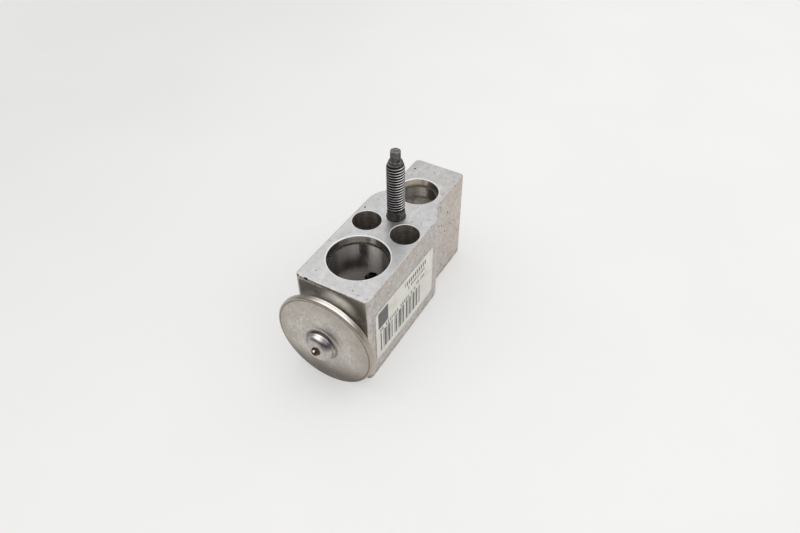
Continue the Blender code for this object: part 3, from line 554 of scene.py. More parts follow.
def bored_aluminium(name, dark, light, rough, feed, metallic, painted_layers=()):
    """The wall of a turned bore, with the cutter's close rings round it. Painted reflections and
    painted shade, where a real wall mirrors its surroundings and darkens in its depths and corners,
    are multiplied into its colour. Each layer of them is given as a height in millimetres, under
    which it holds, its softness and its bands."""
    material, tree, shader = new_material(name)
    place = millimetres(tree)
    height_up = xyz_of(tree, place)["Z"]
    rings = rings_on(tree, height_up, feed)
    grain = grain_on(tree, place, 1.1, (1.0, 1.0, 0.3))
    wear = wear_on(tree, place, 0.00012, 1.5)
    coarse_rings = ramp(tree, rings_on(tree, height_up, 1.7), 0.4, 0.6, 0.15, 0.0)
    colour = layered(tree, mix_colour(tree, grain["Mottle"], dark, light),
                     [(coarse_rings, (0.05, 0.045, 0.04, 1))])
    if painted_layers:
        inward = xyz_of(tree, add_node(tree, "ShaderNodeNewGeometry").outputs["True Normal"])
        outward_x, outward_y = (times(tree, inward[axis], -1.0) for axis in ("X", "Y"))
        uneven = times(tree, maths(tree, "SUBTRACT", grain["Height"], 0.5), 0.06)
        turn = maths(tree, "ARCTAN2", outward_y, outward_x)
        turn = maths(tree, "MULTIPLY_ADD", turn, 0.5 / math.pi, 1.0)
        turn = maths(tree, "FRACT", maths(tree, "ADD", turn, uneven))
        shade = (1, 1, 1, 1)
        for under_mm, soft_mm, stops in painted_layers:
            here = maths(tree, "MULTIPLY_ADD", uneven, 10.0 * soft_mm, height_up)
            below = ramp(tree, here, under_mm - soft_mm, under_mm + soft_mm, 1.0, 0.0)
            shade = mix_colour(tree, below, shade, painted_band_ramp(tree, turn, stops))
        colour = mix_colour(tree, 1.0, colour, shade, "MULTIPLY")
    set_inputs(tree, shader, {
        "Base Color": mix_colour(tree, wear, colour, worn_aluminium),
        "Roughness": ramp(tree, rings, 0.2, 0.8, rough - 0.06, rough + 0.1), "Metallic": metallic})
    bumped(tree, shader, rings, 0.25, 0.012)
    return material


# Painted reflections and painted shade for the bores: bright bands, dark depths and dark corners
everywhere_mm = 99.0
suction_painted_bands = (
    (everywhere_mm, 1.0, ((0.0, 0.04), (1.0, 0.04))),
    (33.0, 0.2, ((0.0, 0.08), (0.10, 0.08), (0.18, 0.2), (0.22, 0.75), (0.25, 1.0), (0.27, 0.8),
                 (0.302, 0.1), (0.326, 0.08), (0.355, 0.55), (0.37, 0.55), (0.41, 0.38), (0.45, 0.32),
                 (0.5, 0.12), (0.6, 0.06), (1.0, 0.08))),
    (27.4, 2.4, ((0.0, 0.05), (0.13, 0.05), (0.18, 0.15), (0.22, 0.75), (0.25, 1.0), (0.27, 0.9),
                 (0.31, 0.22), (0.34, 0.1), (0.37, 0.15), (0.42, 0.1), (0.46, 0.2), (0.5, 0.1),
                 (0.6, 0.05), (1.0, 0.05))),
    (21.6, 2.6, ((0.0, 0.2), (0.2, 0.4), (0.25, 0.95), (0.32, 1.0), (0.45, 1.0), (0.52, 0.5), (0.6, 0.2),
                 (1.0, 0.2))),
)
liquid_painted_bands = (
    (everywhere_mm, 1.0, ((0.0, 0.1), (1.0, 0.1))),
    (33.0, 0.2, ((0.0, 0.04), (0.16, 0.04), (0.22, 0.1), (0.25, 0.45), (0.268, 0.95), (0.30, 1.0),
                 (0.335, 0.6), (0.36, 0.42), (0.40, 0.5), (0.46, 0.28), (0.55, 0.12), (1.0, 0.04))),
    (29.0, 0.3, ((0.0, 0.05), (0.2, 0.15), (0.3, 0.34), (0.4, 0.3), (0.55, 0.1), (1.0, 0.05))),
)
entry_painted_bands = (
    (everywhere_mm, 1.0, ((0.0, 0.05), (0.15, 0.05), (0.21, 0.12), (0.25, 0.3), (0.264, 1.0), (0.276, 1.0),
                          (0.288, 0.35), (0.31, 0.64), (0.37, 0.64), (0.42, 0.3), (0.47, 0.08), (0.58, 0.04),
                          (1.0, 0.05))),
    (33.35, 0.12, ((0.0, 0.04), (0.2, 0.06), (0.28, 0.3), (0.38, 0.3), (0.46, 0.06), (1.0, 0.04))),
)
liquid_entry_painted_bands = (
    (everywhere_mm, 1.0, ((0.0, 0.05), (0.15, 0.05), (0.21, 0.12), (0.25, 0.35), (0.262, 1.0), (0.276, 1.0),
                          (0.286, 0.62), (0.31, 1.0), (0.38, 1.0), (0.44, 0.8), (0.5, 0.3), (0.58, 0.08),
                          (1.0, 0.05))),
    (33.7, 0.5, ((0.0, 0.04), (0.2, 0.1), (0.28, 0.36), (0.38, 0.36), (0.46, 0.18), (1.0, 0.04))),
)
recess_painted_bands = (
    (everywhere_mm, 1.0, ((0.0, 0.25), (0.14, 0.3), (0.2, 0.6), (0.26, 0.95), (0.31, 0.8), (0.36, 1.0),
                          (0.42, 0.75), (0.5, 0.5), (0.6, 0.3), (1.0, 0.25))),
)
suction_bore = bored_aluminium(
    "suction_bore", dark=(0.93, 0.84, 0.78, 1), light=(1.0, 0.94, 0.89, 1), rough=0.32, feed=7.0,
    metallic=0.0, painted_layers=suction_painted_bands)
liquid_bore = bored_aluminium(
    "liquid_bore", dark=(0.86, 0.77, 0.69, 1), light=(1.0, 0.95, 0.90, 1), rough=0.28, feed=5.0,
    metallic=0.15, painted_layers=liquid_painted_bands)
port_entry = bored_aluminium(
    "port_entry", dark=(0.86, 0.79, 0.68, 1), light=(1.0, 0.95, 0.86, 1), rough=0.24, feed=7.0,
    metallic=0.4, painted_layers=entry_painted_bands)
liquid_entry = bored_aluminium(
    "liquid_entry", dark=(0.94, 0.81, 0.63, 1), light=(1.0, 0.91, 0.76, 1), rough=0.24, feed=7.0,
    metallic=0.2, painted_layers=liquid_entry_painted_bands)
recess_wall = bored_aluminium(
    "recess_wall", dark=(0.46, 0.40, 0.35, 1), light=(0.78, 0.69, 0.61, 1), rough=0.30, feed=4.0,
    metallic=0.75, painted_layers=recess_painted_bands)
drilled = bored_aluminium(
    "drilled_aluminium", dark=(0.38, 0.34, 0.30, 1), light=(0.62, 0.565, 0.51, 1), rough=0.34, feed=3.0,
    metallic=0.85)
# The ledges at the ports' steps are coloured dark as painted shade
shaded_port_ledge = bored_aluminium(
    "shaded_port_ledge", dark=(0.012, 0.009, 0.006, 1), light=(0.055, 0.042, 0.03, 1), rough=0.6, feed=3.0,
    metallic=0.2)
shaded_liquid_ledge = bored_aluminium(
    "shaded_liquid_ledge", dark=(0.10, 0.08, 0.058, 1), light=(0.20, 0.165, 0.125, 1), rough=0.5, feed=3.0,
    metallic=0.2)
port_floor = bored_aluminium(
    "port_floor", dark=(0.17, 0.15, 0.125, 1), light=(0.60, 0.555, 0.50, 1), rough=0.4, feed=3.0,
    metallic=0.4)
# The chamfers are near-white: freshly cut metal, and partly a painted highlight
cut_and_highlit_chamfer = bored_aluminium(
    "chamfer_cut_and_highlight", dark=(0.94, 0.94, 0.93, 1), light=(0.98, 0.98, 0.97, 1), rough=0.38, feed=7.0,
    metallic=0.25)
nick_metal, tree, shader = new_material("nicked_aluminium")
grit = grain_on(tree, millimetres(tree), 6.0)
set_inputs(tree, shader, {
    "Base Color": mix_colour(tree, grit["Mottle"], (0.01, 0.009, 0.008, 1), (0.05, 0.043, 0.038, 1)),
    "Roughness": 0.8, "Specular IOR Level": 0.2})
bumped(tree, shader, grit["Height"], 0.6, 0.05)
block_finishes = [milled_face, extruded_wall, suction_bore, drilled, nick_metal, cut_and_highlit_chamfer, sawn_and_shaded_end,
                  shaded_port_ledge, port_entry, liquid_bore, port_floor, recess_wall, liquid_entry, shaded_liquid_ledge]

block_bm = bmesh.new()
rounding = [(edge_round_mm * (1 - math.sin(a)), edge_round_mm * (1 - math.cos(a))) for a in quarter_turn(4)]
levels = rounding + [(inset, block_height_mm - rise) for inset, rise in reversed(rounding)]
loops = [[block_bm.verts.new(from_block((x, y, z))) for x, y in block_outline(inset)]
         for inset, z in levels]
for side in bridged(block_bm, loops):
    side.normal_update()
    at_end = abs(side.normal.y) > 0.8 and abs(side.normal.z) < 0.6
    side.material_index = block_finishes.index(sawn_and_shaded_end if at_end else extruded_wall)
for flat in (reversed(loops[0]), loops[-1]):
    block_bm.faces.new(flat).material_index = block_finishes.index(milled_face)
block = made_piece("block", block_bm, block_finishes, "housing", ["valve_body"], weighted=False)


def face_port(entry_mm, bore_mm, floor_mm, at_top):
    """A port's cutter from its floor out past its face: bore, step, entry bore and rounded edge."""
    face = block_height_mm if at_top else 0.0
    out = 1 if at_top else -1
    step = face - out * port_depth_mm
    edge = [(entry_mm + port_edge_mm * (1 - math.cos(a)), face - out * port_edge_mm * (1 - math.sin(a)))
            for a in quarter_turn(5)]
    inside = [(bore_mm, floor_mm), (bore_mm, step), (entry_mm, step)]
    return inside + edge + [(entry_mm + port_edge_mm, face + out)]


def stepped(*bores):
    """A profile of bores, one behind another: radius, start and end each."""
    return [(radius, place) for radius, start, end in bores for place in (start, end)]


def cut_by(wall, chamfer, flat, entry_mm=None, entry_wall=None, entry_ledge=None):
    """Tells a cutter's finish from a stretch of its profile: wall, chamfer or flat. A port's entry,
    known by its radius, has a wall and a ledge of its own."""
    def pick(start, end):
        at_entry = entry_mm in (start[0], end[0])
        finish = chamfer
        if start[0] == end[0]:
            finish = entry_wall if at_entry else wall
        elif start[1] == end[1]:
            finish = entry_ledge if at_entry else flat
        return block_finishes.index(finish)
    return pick


def cutter_from(name, bm):
    """Makes a cutter of what was modelled, and takes it out of the block."""
    data = bpy.data.meshes.new(name)
    bm.to_mesh(data)
    bm.free()
    for finish in block_finishes:
        data.materials.append(finish)
    cutter = bpy.data.objects.new(name, data)
    scene.collection.objects.link(cutter)
    modifier = block.modifiers.new(name, "BOOLEAN")
    modifier.operation = "DIFFERENCE"
    modifier.solver = "EXACT"
    modifier.material_mode = "TRANSFER"
    modifier.object = cutter
    return cutter


def turned_cutter(name, along, shapes):
    """One cutter of turned shapes that stay apart: (profile, steps, centre, finishes) each."""
    bm = bmesh.new()
    for profile, steps, centre_mm, pick in shapes:
        capped = [(0, profile[0][1])] + profile + [(0, profile[-1][1])]
        turned(bm, capped, steps, centre_mm, along, pick=pick)
    bmesh.ops.remove_doubles(bm, verts=bm.verts, dist=1e-7)
    bmesh.ops.recalc_face_normals(bm, faces=bm.faces)
    return cutter_from(name, bm)


suction_cut = cut_by(suction_bore, cut_and_highlit_chamfer, port_floor, suction_entry_mm, port_entry, shaded_port_ledge)
liquid_cut = cut_by(liquid_bore, cut_and_highlit_chamfer, port_floor, liquid_entry_mm, liquid_entry, shaded_liquid_ledge)
recess_cut = cut_by(recess_wall, cut_and_highlit_chamfer, drilled)
plain_cut = cut_by(drilled, drilled, drilled)
long_cut = cut_by(drilled, milled_face, drilled)
suction_bottom, suction_top = (face_port(suction_entry_mm, suction_bore_mm, suction_middle_mm, at_top)
                               for at_top in (False, True))
suction = suction_bottom[:0:-1] + suction_top[1:]
inlet = face_port(liquid_entry_mm, liquid_bore_mm, inlet_floor_mm, True)
outlet = face_port(liquid_entry_mm, liquid_bore_mm, outlet_floor_mm, False)
inlet_feed = stepped((inlet_feed_mm, axis_height_mm + 3.0, 30.0))
outlet_feed = stepped((outlet_feed_mm, axis_height_mm, 8.5))
foot_edge_mm = bolt_hole_mm + hole_edge_mm
head_edge_mm = bolt_recess_mm + bolt_edge_mm
bolt_recess = [(foot_edge_mm, -past_mm), (foot_edge_mm, 0.0), (bolt_hole_mm, hole_edge_mm),
               (bolt_hole_mm, bolt_floor_mm), (bolt_recess_mm, bolt_floor_mm),
               (bolt_recess_mm, block_height_mm - bolt_edge_mm), (head_edge_mm, block_height_mm),
               (head_edge_mm, block_height_mm + past_mm)]
stud_hole = stepped((stud_hole_mm, 25.0, stud_seat_mm),
                    (stud_counterbore_mm, stud_seat_mm, block_height_mm + past_mm))
capsule_seat_mm = (10.9, -past_mm, 1.2)
neck_bore_mm = (9.7, 1.2, 5.2)
rod_hole_mm = (4.4, 5.2, suction_place_mm)
near_bore = stepped(capsule_seat_mm, neck_bore_mm, rod_hole_mm)
rod_entry_mm = (3.8, suction_place_mm, 25.6)
rod_guide_mm = (2.95, 26.6, 31.2)
seal_bore_mm = (3.5, 31.2, 45.9)
orifice_seat_mm = (4.2, 45.9, 48.5)
spring_chamber_mm = (5.6, 48.5, 61.0)
screw_bore_mm = (6.6, 61.0, 70.3)
screw_mouth_mm = (7.1, block_length_mm, 72.0)
far_bore = stepped(rod_entry_mm, rod_guide_mm, seal_bore_mm, orifice_seat_mm, spring_chamber_mm,
                   screw_bore_mm, screw_mouth_mm)
bolt_x, bolt_y = bolt_place_mm
axis_mm = (0, axis_height_mm)
cutters = [
    turned_cutter("suction_port", "Z", [(suction, suction_steps, (0, suction_place_mm), suction_cut)]),
    turned_cutter("liquid_ports", "Z", [
        (inlet, liquid_steps, (0, inlet_place_mm), liquid_cut),
        (outlet, liquid_steps, (0, outlet_place_mm), liquid_cut)]),
    turned_cutter("feed_drillings", "Z", [
        (inlet_feed, narrow_hole_steps, (0, inlet_place_mm - inlet_feed_shift_mm), plain_cut),
        (outlet_feed, narrow_hole_steps, (0, outlet_place_mm), plain_cut)]),
    turned_cutter("screw_recesses", "Z", [
        (bolt_recess, wide_hole_steps, (-bolt_x, bolt_y), recess_cut),
        (bolt_recess, wide_hole_steps, (bolt_x, bolt_y), recess_cut),
        (stud_hole, narrow_hole_steps, (0, stud_place_mm), plain_cut)]),
    turned_cutter("near_long_bore", "Y", [(near_bore, wide_hole_steps, axis_mm, long_cut)]),
    turned_cutter("far_long_bore", "Y", [(far_bore, wide_hole_steps, axis_mm, long_cut)]),
]
# Knocks on the edges and faces: (x, y, z, size) in millimetres
knocks_mm = (
    (-8.8, -0.1, 35.75, 0.62), (-7.5, -0.05, 35.65, 0.32), (-11.75, 0.05, 35.9, 0.4),
    (-11.8, -0.05, 34.4, 0.35), (-11.3, 37.7, 36.05, 0.34), (-7.4, 65.2, 36.05, 0.4),
    (0.1, 66.0, 36.05, 0.22), (9.65, 54.1, 24.3, 0.34),
    (9.65, 64.3, 19.6, 0.4), (9.68, 53.6, 34.6, 0.24), (13.05, 30.0, 31.4, 0.22), (9.6, 63.3, 35.9, 0.3),
    (9.68, 60.2, 27.0, 0.2), (9.7, 57.0, 13.5, 0.24), (4.1, 46.6, 36.08, 0.2), (-9.62, 58.0, 21.0, 0.3),
    (-13.05, 12.0, 26.0, 0.3), (-13.0, 30.0, 8.0, 0.26), (6.0, 70.85, 30.5, 0.3), (9.7, 52.2, 33.9, 0.45),
    (9.68, 53.0, 31.8, 0.3), (9.7, 51.8, 25.6, 0.4), (9.66, 58.4, 27.6, 0.46), (9.66, 56.8, 20.0, 0.34))
knock_bm = bmesh.new()
for count, (x, y, z, size) in enumerate(knocks_mm):
    ball = bmesh.ops.create_icosphere(knock_bm, subdivisions=2, radius=size / 1000)
    squeeze = Matrix.Rotation(count * 1.3, 4, "Z") @ Matrix.Diagonal((1.25, 0.8, 1.0, 1))
    for vertex in ball["verts"]:
        share = vertex.co / size * 1000
        dent = 1 + 0.18 * math.sin(37 * share.x + count) * math.cos(23 * share.z)
        vertex.co = from_block((x, y, z)) + (squeeze @ vertex.co) * dent
for face in knock_bm.faces:
    face.material_index = block_finishes.index(nick_metal)
cutters.append(cutter_from("knocks", knock_bm))
bpy.context.view_layer.update()
cut_block = bpy.data.meshes.new_from_object(block.evaluated_get(bpy.context.evaluated_depsgraph_get()))
block.modifiers.clear()
for cutter in cutters:
    bpy.data.objects.remove(cutter)
block.data = cut_block
cut_block.shade_smooth()
cut_block.set_sharp_from_angle(angle=math.radians(edge_sharp_degrees))
even = block.modifiers.new("even_shading", "WEIGHTED_NORMAL")
even.keep_sharp = True


# Mounting stud
# A stud of dark phosphated steel, screwed into the block: a collar at its foot, a rolled thread,
# a tapered end and a six-lobed tip to drive it by.
thread_pitch_mm = 1.0
thread_low_mm = 38.9
thread_high_mm = 57.3
thread_fade_mm = 0.9
stud_radius_mm = 3.0
thread_root_mm = 2.38
taper_start_mm = 56.0
taper_slope = 0.38
stud_top_mm = 61.8
stud_steps = 64
thread_steps = 60
thread_section = ((0.0, 0.0), (0.1, 0.0), (0.4, 0.92), (0.44, 1.0), (0.6, 1.0), (0.64, 0.92), (0.94, 0.0),
                  (1.0, 0.0))
tip_steps = 72
lobes = 6
lobe_depth_mm = 0.42
dimple_radius_mm = 0.75

stud_steel, tree, shader = new_material("phosphated_steel")
place = millimetres(tree)
spot = xyz_of(tree, place)
grain = grain_on(tree, place, 3.5)
wear = wear_on(tree, place, 0.00018, 1.6)
off_axis = maths(tree, "SUBTRACT", spot["Y"], block_low.y * 1000 + stud_place_mm)
on_thread = band(tree, spot["Z"], (thread_low_mm - 0.3, thread_low_mm + 0.6),
                 (thread_high_mm - 0.4, thread_high_mm))
tapered = maths(tree, "MAXIMUM", maths(tree, "SUBTRACT", spot["Z"], taper_start_mm), 0.0)
reach = maths(tree, "MULTIPLY_ADD", tapered, taper_slope, distance_of(tree, spot["X"], off_axis))
# Painted shade in the thread's roots
root_shade = times(tree, on_thread, ramp(tree, reach, 2.82, 2.96, 0.95, 0.0))
# The crests are worn bright, with a painted highlight that makes them brighter towards +X
highlight_side = maths(tree, "MULTIPLY_ADD", spot["X"], 0.87, times(tree, off_axis, 0.5))
crest_wear_and_highlight = times(tree, on_thread, ramp(tree, reach, 2.90, 2.98), ramp(tree, highlight_side, -2.0, 2.2, 0.25, 1.0))
patches = noise(tree, place, 1.7, 5.0, 0.7)
tip_face = times(tree, ramp(tree, spot["Z"], stud_top_mm - 0.3, stud_top_mm - 0.12),
                 ramp(tree, patches, 0.36, 0.6, 0.1, 0.9))
colour = layered(tree, mix_colour(tree, grain["Mottle"], (0.045, 0.041, 0.04, 1), (0.17, 0.16, 0.157, 1)), (
    (ramp(tree, patches, 0.52, 0.68, 0.0, 0.75), (0.40, 0.37, 0.36, 1)),
    (ramp(tree, patches, 0.46, 0.34, 0.0, 0.8), (0.03, 0.026, 0.025, 1)),
    (times(tree, wear, 0.8), (0.50, 0.48, 0.47, 1)),
    (root_shade, (0.012, 0.011, 0.011, 1)),
    (crest_wear_and_highlight, (0.82, 0.81, 0.80, 1)),
    (tip_face, (0.25, 0.24, 0.232, 1))))
set_inputs(tree, shader, {
    "Base Color": colour, "Roughness": mix_number(tree, crest_wear_and_highlight, 0.42, 0.27), "Metallic": 0.9})
bumped(tree, shader, grain["Height"], 0.25, 0.015)


def round_stud(radius_mm, angle, z):
    """A point of the stud, at a radius and a turn from its axis."""
    return from_block((radius_mm * math.cos(angle), stud_place_mm + radius_mm * math.sin(angle), z))


stud_bm = bmesh.new()
strips = []
for station in range(int(thread_steps * (thread_high_mm - thread_low_mm + 1)) + 1):
    angle = 2 * math.pi * station / thread_steps
    start = thread_low_mm - thread_pitch_mm + station * thread_pitch_mm / thread_steps
    strip = []
    for along, rise in thread_section:
        z = start + along * thread_pitch_mm
        fade = min(1.0, max(0.0, (z - thread_low_mm) / thread_fade_mm))
        crest_mm = stud_radius_mm - taper_slope * max(0.0, z - taper_start_mm)
        radius = thread_root_mm + (crest_mm - thread_root_mm) * rise * fade
        z = min(max(z, thread_low_mm), thread_high_mm)
        strip.append(stud_bm.verts.new(round_stud(radius, angle, z)))
    strips.append(strip)
for near, far in zip(strips, strips[1:]):
    for i in range(len(near) - 1):
        stud_bm.faces.new((near[i], near[i + 1], far[i + 1], far[i]))
bmesh.ops.remove_doubles(stud_bm, verts=stud_bm.verts, dist=2e-6)
bmesh.ops.dissolve_degenerate(stud_bm, edges=stud_bm.edges, dist=1e-6)
collar = [(0, 25.5), (2.2, 25.5), (2.6, 25.9), (2.6, 35.3), (3.15, 35.3), (3.2, 35.4), (3.2, 36.5),
          (3.16, 36.9), (3.08, 37.3), (3.02, 37.8), (2.98, 38.3), (2.94, 38.7), (2.8, 38.95), (2.5, 39.15),
          (0, 39.15)]
taper_end = [(0, 56.9), (2.3, 56.9), (2.46, 57.25), (2.42, 57.5), (2.3, 57.85), (2.16, 58.1), (1.9, 58.25),
             (0, 58.25)]
for profile in (collar, taper_end):
    turned(stud_bm, profile, stud_steps, (0, stud_place_mm))
tip_levels = ((58.0, 2.0), (58.25, 1.88), (58.5, 1.8), (61.2, 1.8), (61.5, 1.74), (61.7, 1.6),
              (stud_top_mm, 1.4))
turns = [2 * math.pi * i / tip_steps for i in range(tip_steps)]
tip_loops = []
for z, radius in tip_levels:
    loop = []
    for angle in turns:
        groove = 0.5 - 0.5 * math.cos(lobes * angle + 0.4)
        reach = radius - lobe_depth_mm * groove ** 1.5 * min(1.0, (stud_top_mm + 0.15 - z) / 0.9)
        loop.append(stud_bm.verts.new(round_stud(reach, angle, z)))
    tip_loops.append(loop)
dimple = [stud_bm.verts.new(round_stud(dimple_radius_mm, angle, stud_top_mm - 0.02)) for angle in turns]
bridged(stud_bm, tip_loops + [dimple])
middle = stud_bm.verts.new(from_block((0, stud_place_mm, stud_top_mm - 0.22)))
for i in range(tip_steps):
    stud_bm.faces.new((dimple[i], dimple[(i + 1) % tip_steps], middle))
stud = made_piece("threaded_stud", stud_bm, [stud_steel], "housing", ["mounting_stud"], 40, False)


# Temperature capsule
# Two pressed stainless discs, welded together round the rim over a thin diaphragm. The front one
# has a boss in its middle, closed with a ball after filling; the back one screws into the block.
cap_rim_mm = 17.4
cap_steps = 180
rim_front_mm = -5.8
rim_back_mm = -3.7
rim_seam_mm = -4.6
rim_round_mm = 0.62
back_round_mm = 0.4
seam_depth_mm = 0.04
sheet_mm = 0.65
crease_mm = -6.6
crease_radius_mm = 7.3
boss_front_mm = -10.1
boss_flat_mm = 2.6
boss_round_mm = (2.42, 2.1)
well_radius_mm = 1.5
well_depth_mm = -9.0


def capsule_steel(name, dark, light, rough, polished, warm_reach):
    """Satin stainless, straw-brown where the weld's heat reached, with smudges and fine lines. The
    rim's glint, the boss's highlight, its shaded sides and crescent, the shade in its crease, a dark
    ring inside the rim and the shade on the lower half are painted into the colour."""
    material, tree, shader = new_material(name)
    place = millimetres(tree)
    spot = xyz_of(tree, place)
    across = maths(tree, "SUBTRACT", spot["Z"], axis_height_mm)
    radius = distance_of(tree, spot["X"], across)
    behind_tip = maths(tree, "SUBTRACT", spot["Y"], block_low.y * 1000 + boss_front_mm)
    grain = grain_on(tree, place, 1.6)
    marks = marks_on(tree, place, 0.45, 0.5)
    wear = wear_on(tree, place, 0.0004, 0.8)
    etched = noise(tree, place, 1.9, 4.0, 0.8)
    right_low = maths(tree, "SUBTRACT", spot["X"], times(tree, across, 0.8))
    heat = times(tree, ramp(tree, radius, warm_reach, cap_rim_mm),
                 ramp(tree, right_low, -6.0, 14.0, 0.25, 1.0))
    outer = times(tree, ramp(tree, radius, 9.0, 16.5), ramp(tree, grain["Height"], 0.35, 0.6, 0.1, 0.5))
    dome = band(tree, radius, (2.9, 3.6), (5.0, 5.3))
    rub_and_highlight = times(tree, dome, ramp(tree, across, 2.2, 3.6), ramp(tree, behind_tip, 0.75, 1.2))
    beside_middle = maths(tree, "MAXIMUM", ramp(tree, spot["X"], 0.4, 2.4),
                          ramp(tree, spot["X"], -2.2, -3.4, 0.0, 0.8))
    dome_shade = times(tree, dome, ramp(tree, across, 1.0, 2.6), beside_middle)
    crescent = times(tree, ramp(tree, behind_tip, 2.35, 2.8), ramp(tree, radius, 5.3, 5.6, 1.0, 0.0),
                     ramp(tree, across, 0.4, 2.0))
    glint = band(tree, spot["X"], (-5.0, 2.5), (7.5, 13.0))
    rim_colour = mix_colour(tree, glint, (0.43, 0.38, 0.32, 1), (0.84, 0.81, 0.77, 1))
    colour = layered(tree, mix_colour(tree, grain["Mottle"], dark, light), (
        (times(tree, heat, 0.35), (0.46, 0.38, 0.28, 1)),
        (times(tree, marks["Smudges"], 0.5), (0.40, 0.36, 0.32, 1)),
        (outer, (0.33, 0.285, 0.235, 1)),
        # Painted shade on the lower half
        (ramp(tree, across, -5.0, -14.0, 0.0, 0.95), (0.15, 0.13, 0.11, 1)),
        (marks["Scratches"], (0.7, 0.68, 0.65, 1)),
        (ramp(tree, etched, 0.48, 0.66, 0.0, 0.55), (0.27, 0.235, 0.20, 1)),
        # Painted highlight on the boss's dome, painted shade on its sides and a painted dark crescent behind
        # it
        (rub_and_highlight, (0.90, 0.88, 0.87, 1)),
        (dome_shade, (0.27, 0.225, 0.25, 1)),
        (crescent, (0.07, 0.058, 0.05, 1)),
        # Painted shade in the crease round the boss
        (band(tree, radius, (5.15, 5.45), (5.7, 6.15), 0.6), (0.10, 0.085, 0.07, 1)),
        (times(tree, grain["Pits"], ramp(tree, radius, 9.0, 12.0, 0.0, 0.7)), (0.16, 0.12, 0.09, 1)),
        # Painted shade in a dark ring just inside the rim
        (band(tree, radius, (16.2, 16.55), (16.75, 16.95), 0.7), (0.16, 0.12, 0.085, 1)),
        # The rim's band: darker brown, with a painted glint
        (ramp(tree, radius, 17.3, 17.38), rim_colour),
        (times(tree, wear, 0.4), (0.74, 0.72, 0.69, 1))))
    satin = ramp(tree, grain["Mottle"], 0.0, 1.0, rough + 0.05, rough - 0.04)
    shiny = maths(tree, "MAXIMUM", ramp(tree, radius, 5.6, 6.4, 1.0, 0.0), ramp(tree, radius, 16.6, 16.8))
    set_inputs(tree, shader, {
        "Base Color": colour, "Roughness": mix_number(tree, shiny, satin, polished), "Metallic": 1.0})
    height = maths(tree, "MULTIPLY_ADD", rings_on(tree, radius, 2.5), 0.4, grain["Height"])
    bumped(tree, shader, height, 0.22, 0.012)
    return material


def smooth_profile(points, steps):
    """A smooth line through the points, with steps between each two of them."""
    padded = [points[0]] + list(points) + [points[-1]]
    line = []
    for i in range(len(points) - 1):
        a, b, c, d = (Vector(p) for p in padded[i:i + 4])
        for k in range(steps):
            t = k / steps
            square = 2 * a - 5 * b + 4 * c - d
            cube = 3 * b - a - 3 * c + d
            point = 0.5 * ((2 * b) + (c - a) * t + square * t * t + cube * t ** 3)
            line.append((point.x, point.y))
    return line + [tuple(points[-1])]


pressed_steel = capsule_steel("pressed_stainless", dark=(0.47, 0.435, 0.40, 1), light=(0.73, 0.69, 0.645, 1),
                              rough=0.37, polished=0.37, warm_reach=13.5)
boss_wide_mm, boss_deep_mm = boss_round_mm
cap_line = [(well_radius_mm, well_depth_mm), (well_radius_mm, boss_front_mm + 0.12),
            (well_radius_mm + 0.08, boss_front_mm)]
cap_line += [(boss_flat_mm + boss_wide_mm * math.sin(a), boss_front_mm + boss_deep_mm * (1 - math.cos(a)))
             for a in quarter_turn(20)]
cap_line += smooth_profile([(5.03, -7.98), (5.1, -7.75), (5.3, -7.35), (5.68, -6.92), (6.2, -6.66),
                            (6.75, crease_mm), (crease_radius_mm, crease_mm)], 5)[1:]
cap_line += smooth_profile([(crease_radius_mm, crease_mm), (9.5, -6.5), (12.5, -6.24), (15.0, -5.96),
                            (cap_rim_mm - rim_round_mm, rim_front_mm)], 4)[1:-1]
rim_middle = (cap_rim_mm - rim_round_mm, rim_front_mm + rim_round_mm)
cap_line += arc_points(rim_middle, rim_round_mm, -math.pi / 2, 0, 10)
cap_line += [(cap_rim_mm, rim_seam_mm - 0.05), (cap_rim_mm - seam_depth_mm, rim_seam_mm)]
cap_line += [(cap_rim_mm - sheet_mm, rim_seam_mm), (cap_rim_mm - sheet_mm, -5.1),
             (crease_radius_mm, crease_mm + sheet_mm), (4.4, -6.8), (3.6, -8.6), (well_radius_mm, -8.6)]
back_line = [(cap_rim_mm - seam_depth_mm, rim_seam_mm + 0.03), (cap_rim_mm, rim_seam_mm + 0.08)]
back_middle = (cap_rim_mm - back_round_mm, rim_back_mm - back_round_mm)
back_line += arc_points(back_middle, back_round_mm, 0, math.pi / 2, 6)
back_line += smooth_profile([(16.4, rim_back_mm), (14.6, -3.55), (13.5, -2.75), (12.7, -1.55),
                             (12.2, -0.5)], 4)
back_line += [(11.9, -0.12), (9.5, -0.12), (9.5, 4.3), (9.1, 4.7), (7.9, 4.7), (7.9, -1.2), (11.3, -1.2),
              (12.6, -3.1), (13.6, rim_seam_mm + 0.03)]
for name, line, replaced in (("capsule_front", cap_line, "capsule_cap"),
                             ("capsule_back", back_line, "capsule_base")):
    disc_bm = bmesh.new()
    turned(disc_bm, line, cap_steps, axis_mm, "Y", closed=True)
    disc = made_piece(name, disc_bm, [pressed_steel], "housing", [replaced], 38)

# The ball is a little wider than the frame's and stands further out, as the photograph shows it
ball_extra_radius = 0.00034
ball_further_out = 0.0007
ball_low, ball_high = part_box("charge_plug_ball")
ball_radius = (ball_high.x - ball_low.x) / 2 + ball_extra_radius
ball_middle = (ball_low + ball_high) / 2 - Vector((0, ball_further_out, 0))
bright_side = Vector((-0.04, -0.725, 0.683))
plug_steel, tree, shader = new_material("plug_steel")
place = millimetres(tree)
grain = grain_on(tree, place, 3.0)
from_middle = add_node(tree, "ShaderNodeVectorMath", {"operation": "SUBTRACT"},
                       {0: place, 1: ball_middle * 1000}).outputs["Vector"]
beside_spot = add_node(tree, "ShaderNodeVectorMath", {"operation": "DISTANCE"},
                       {0: from_middle, 1: bright_side * ball_radius * 1000}).outputs["Value"]
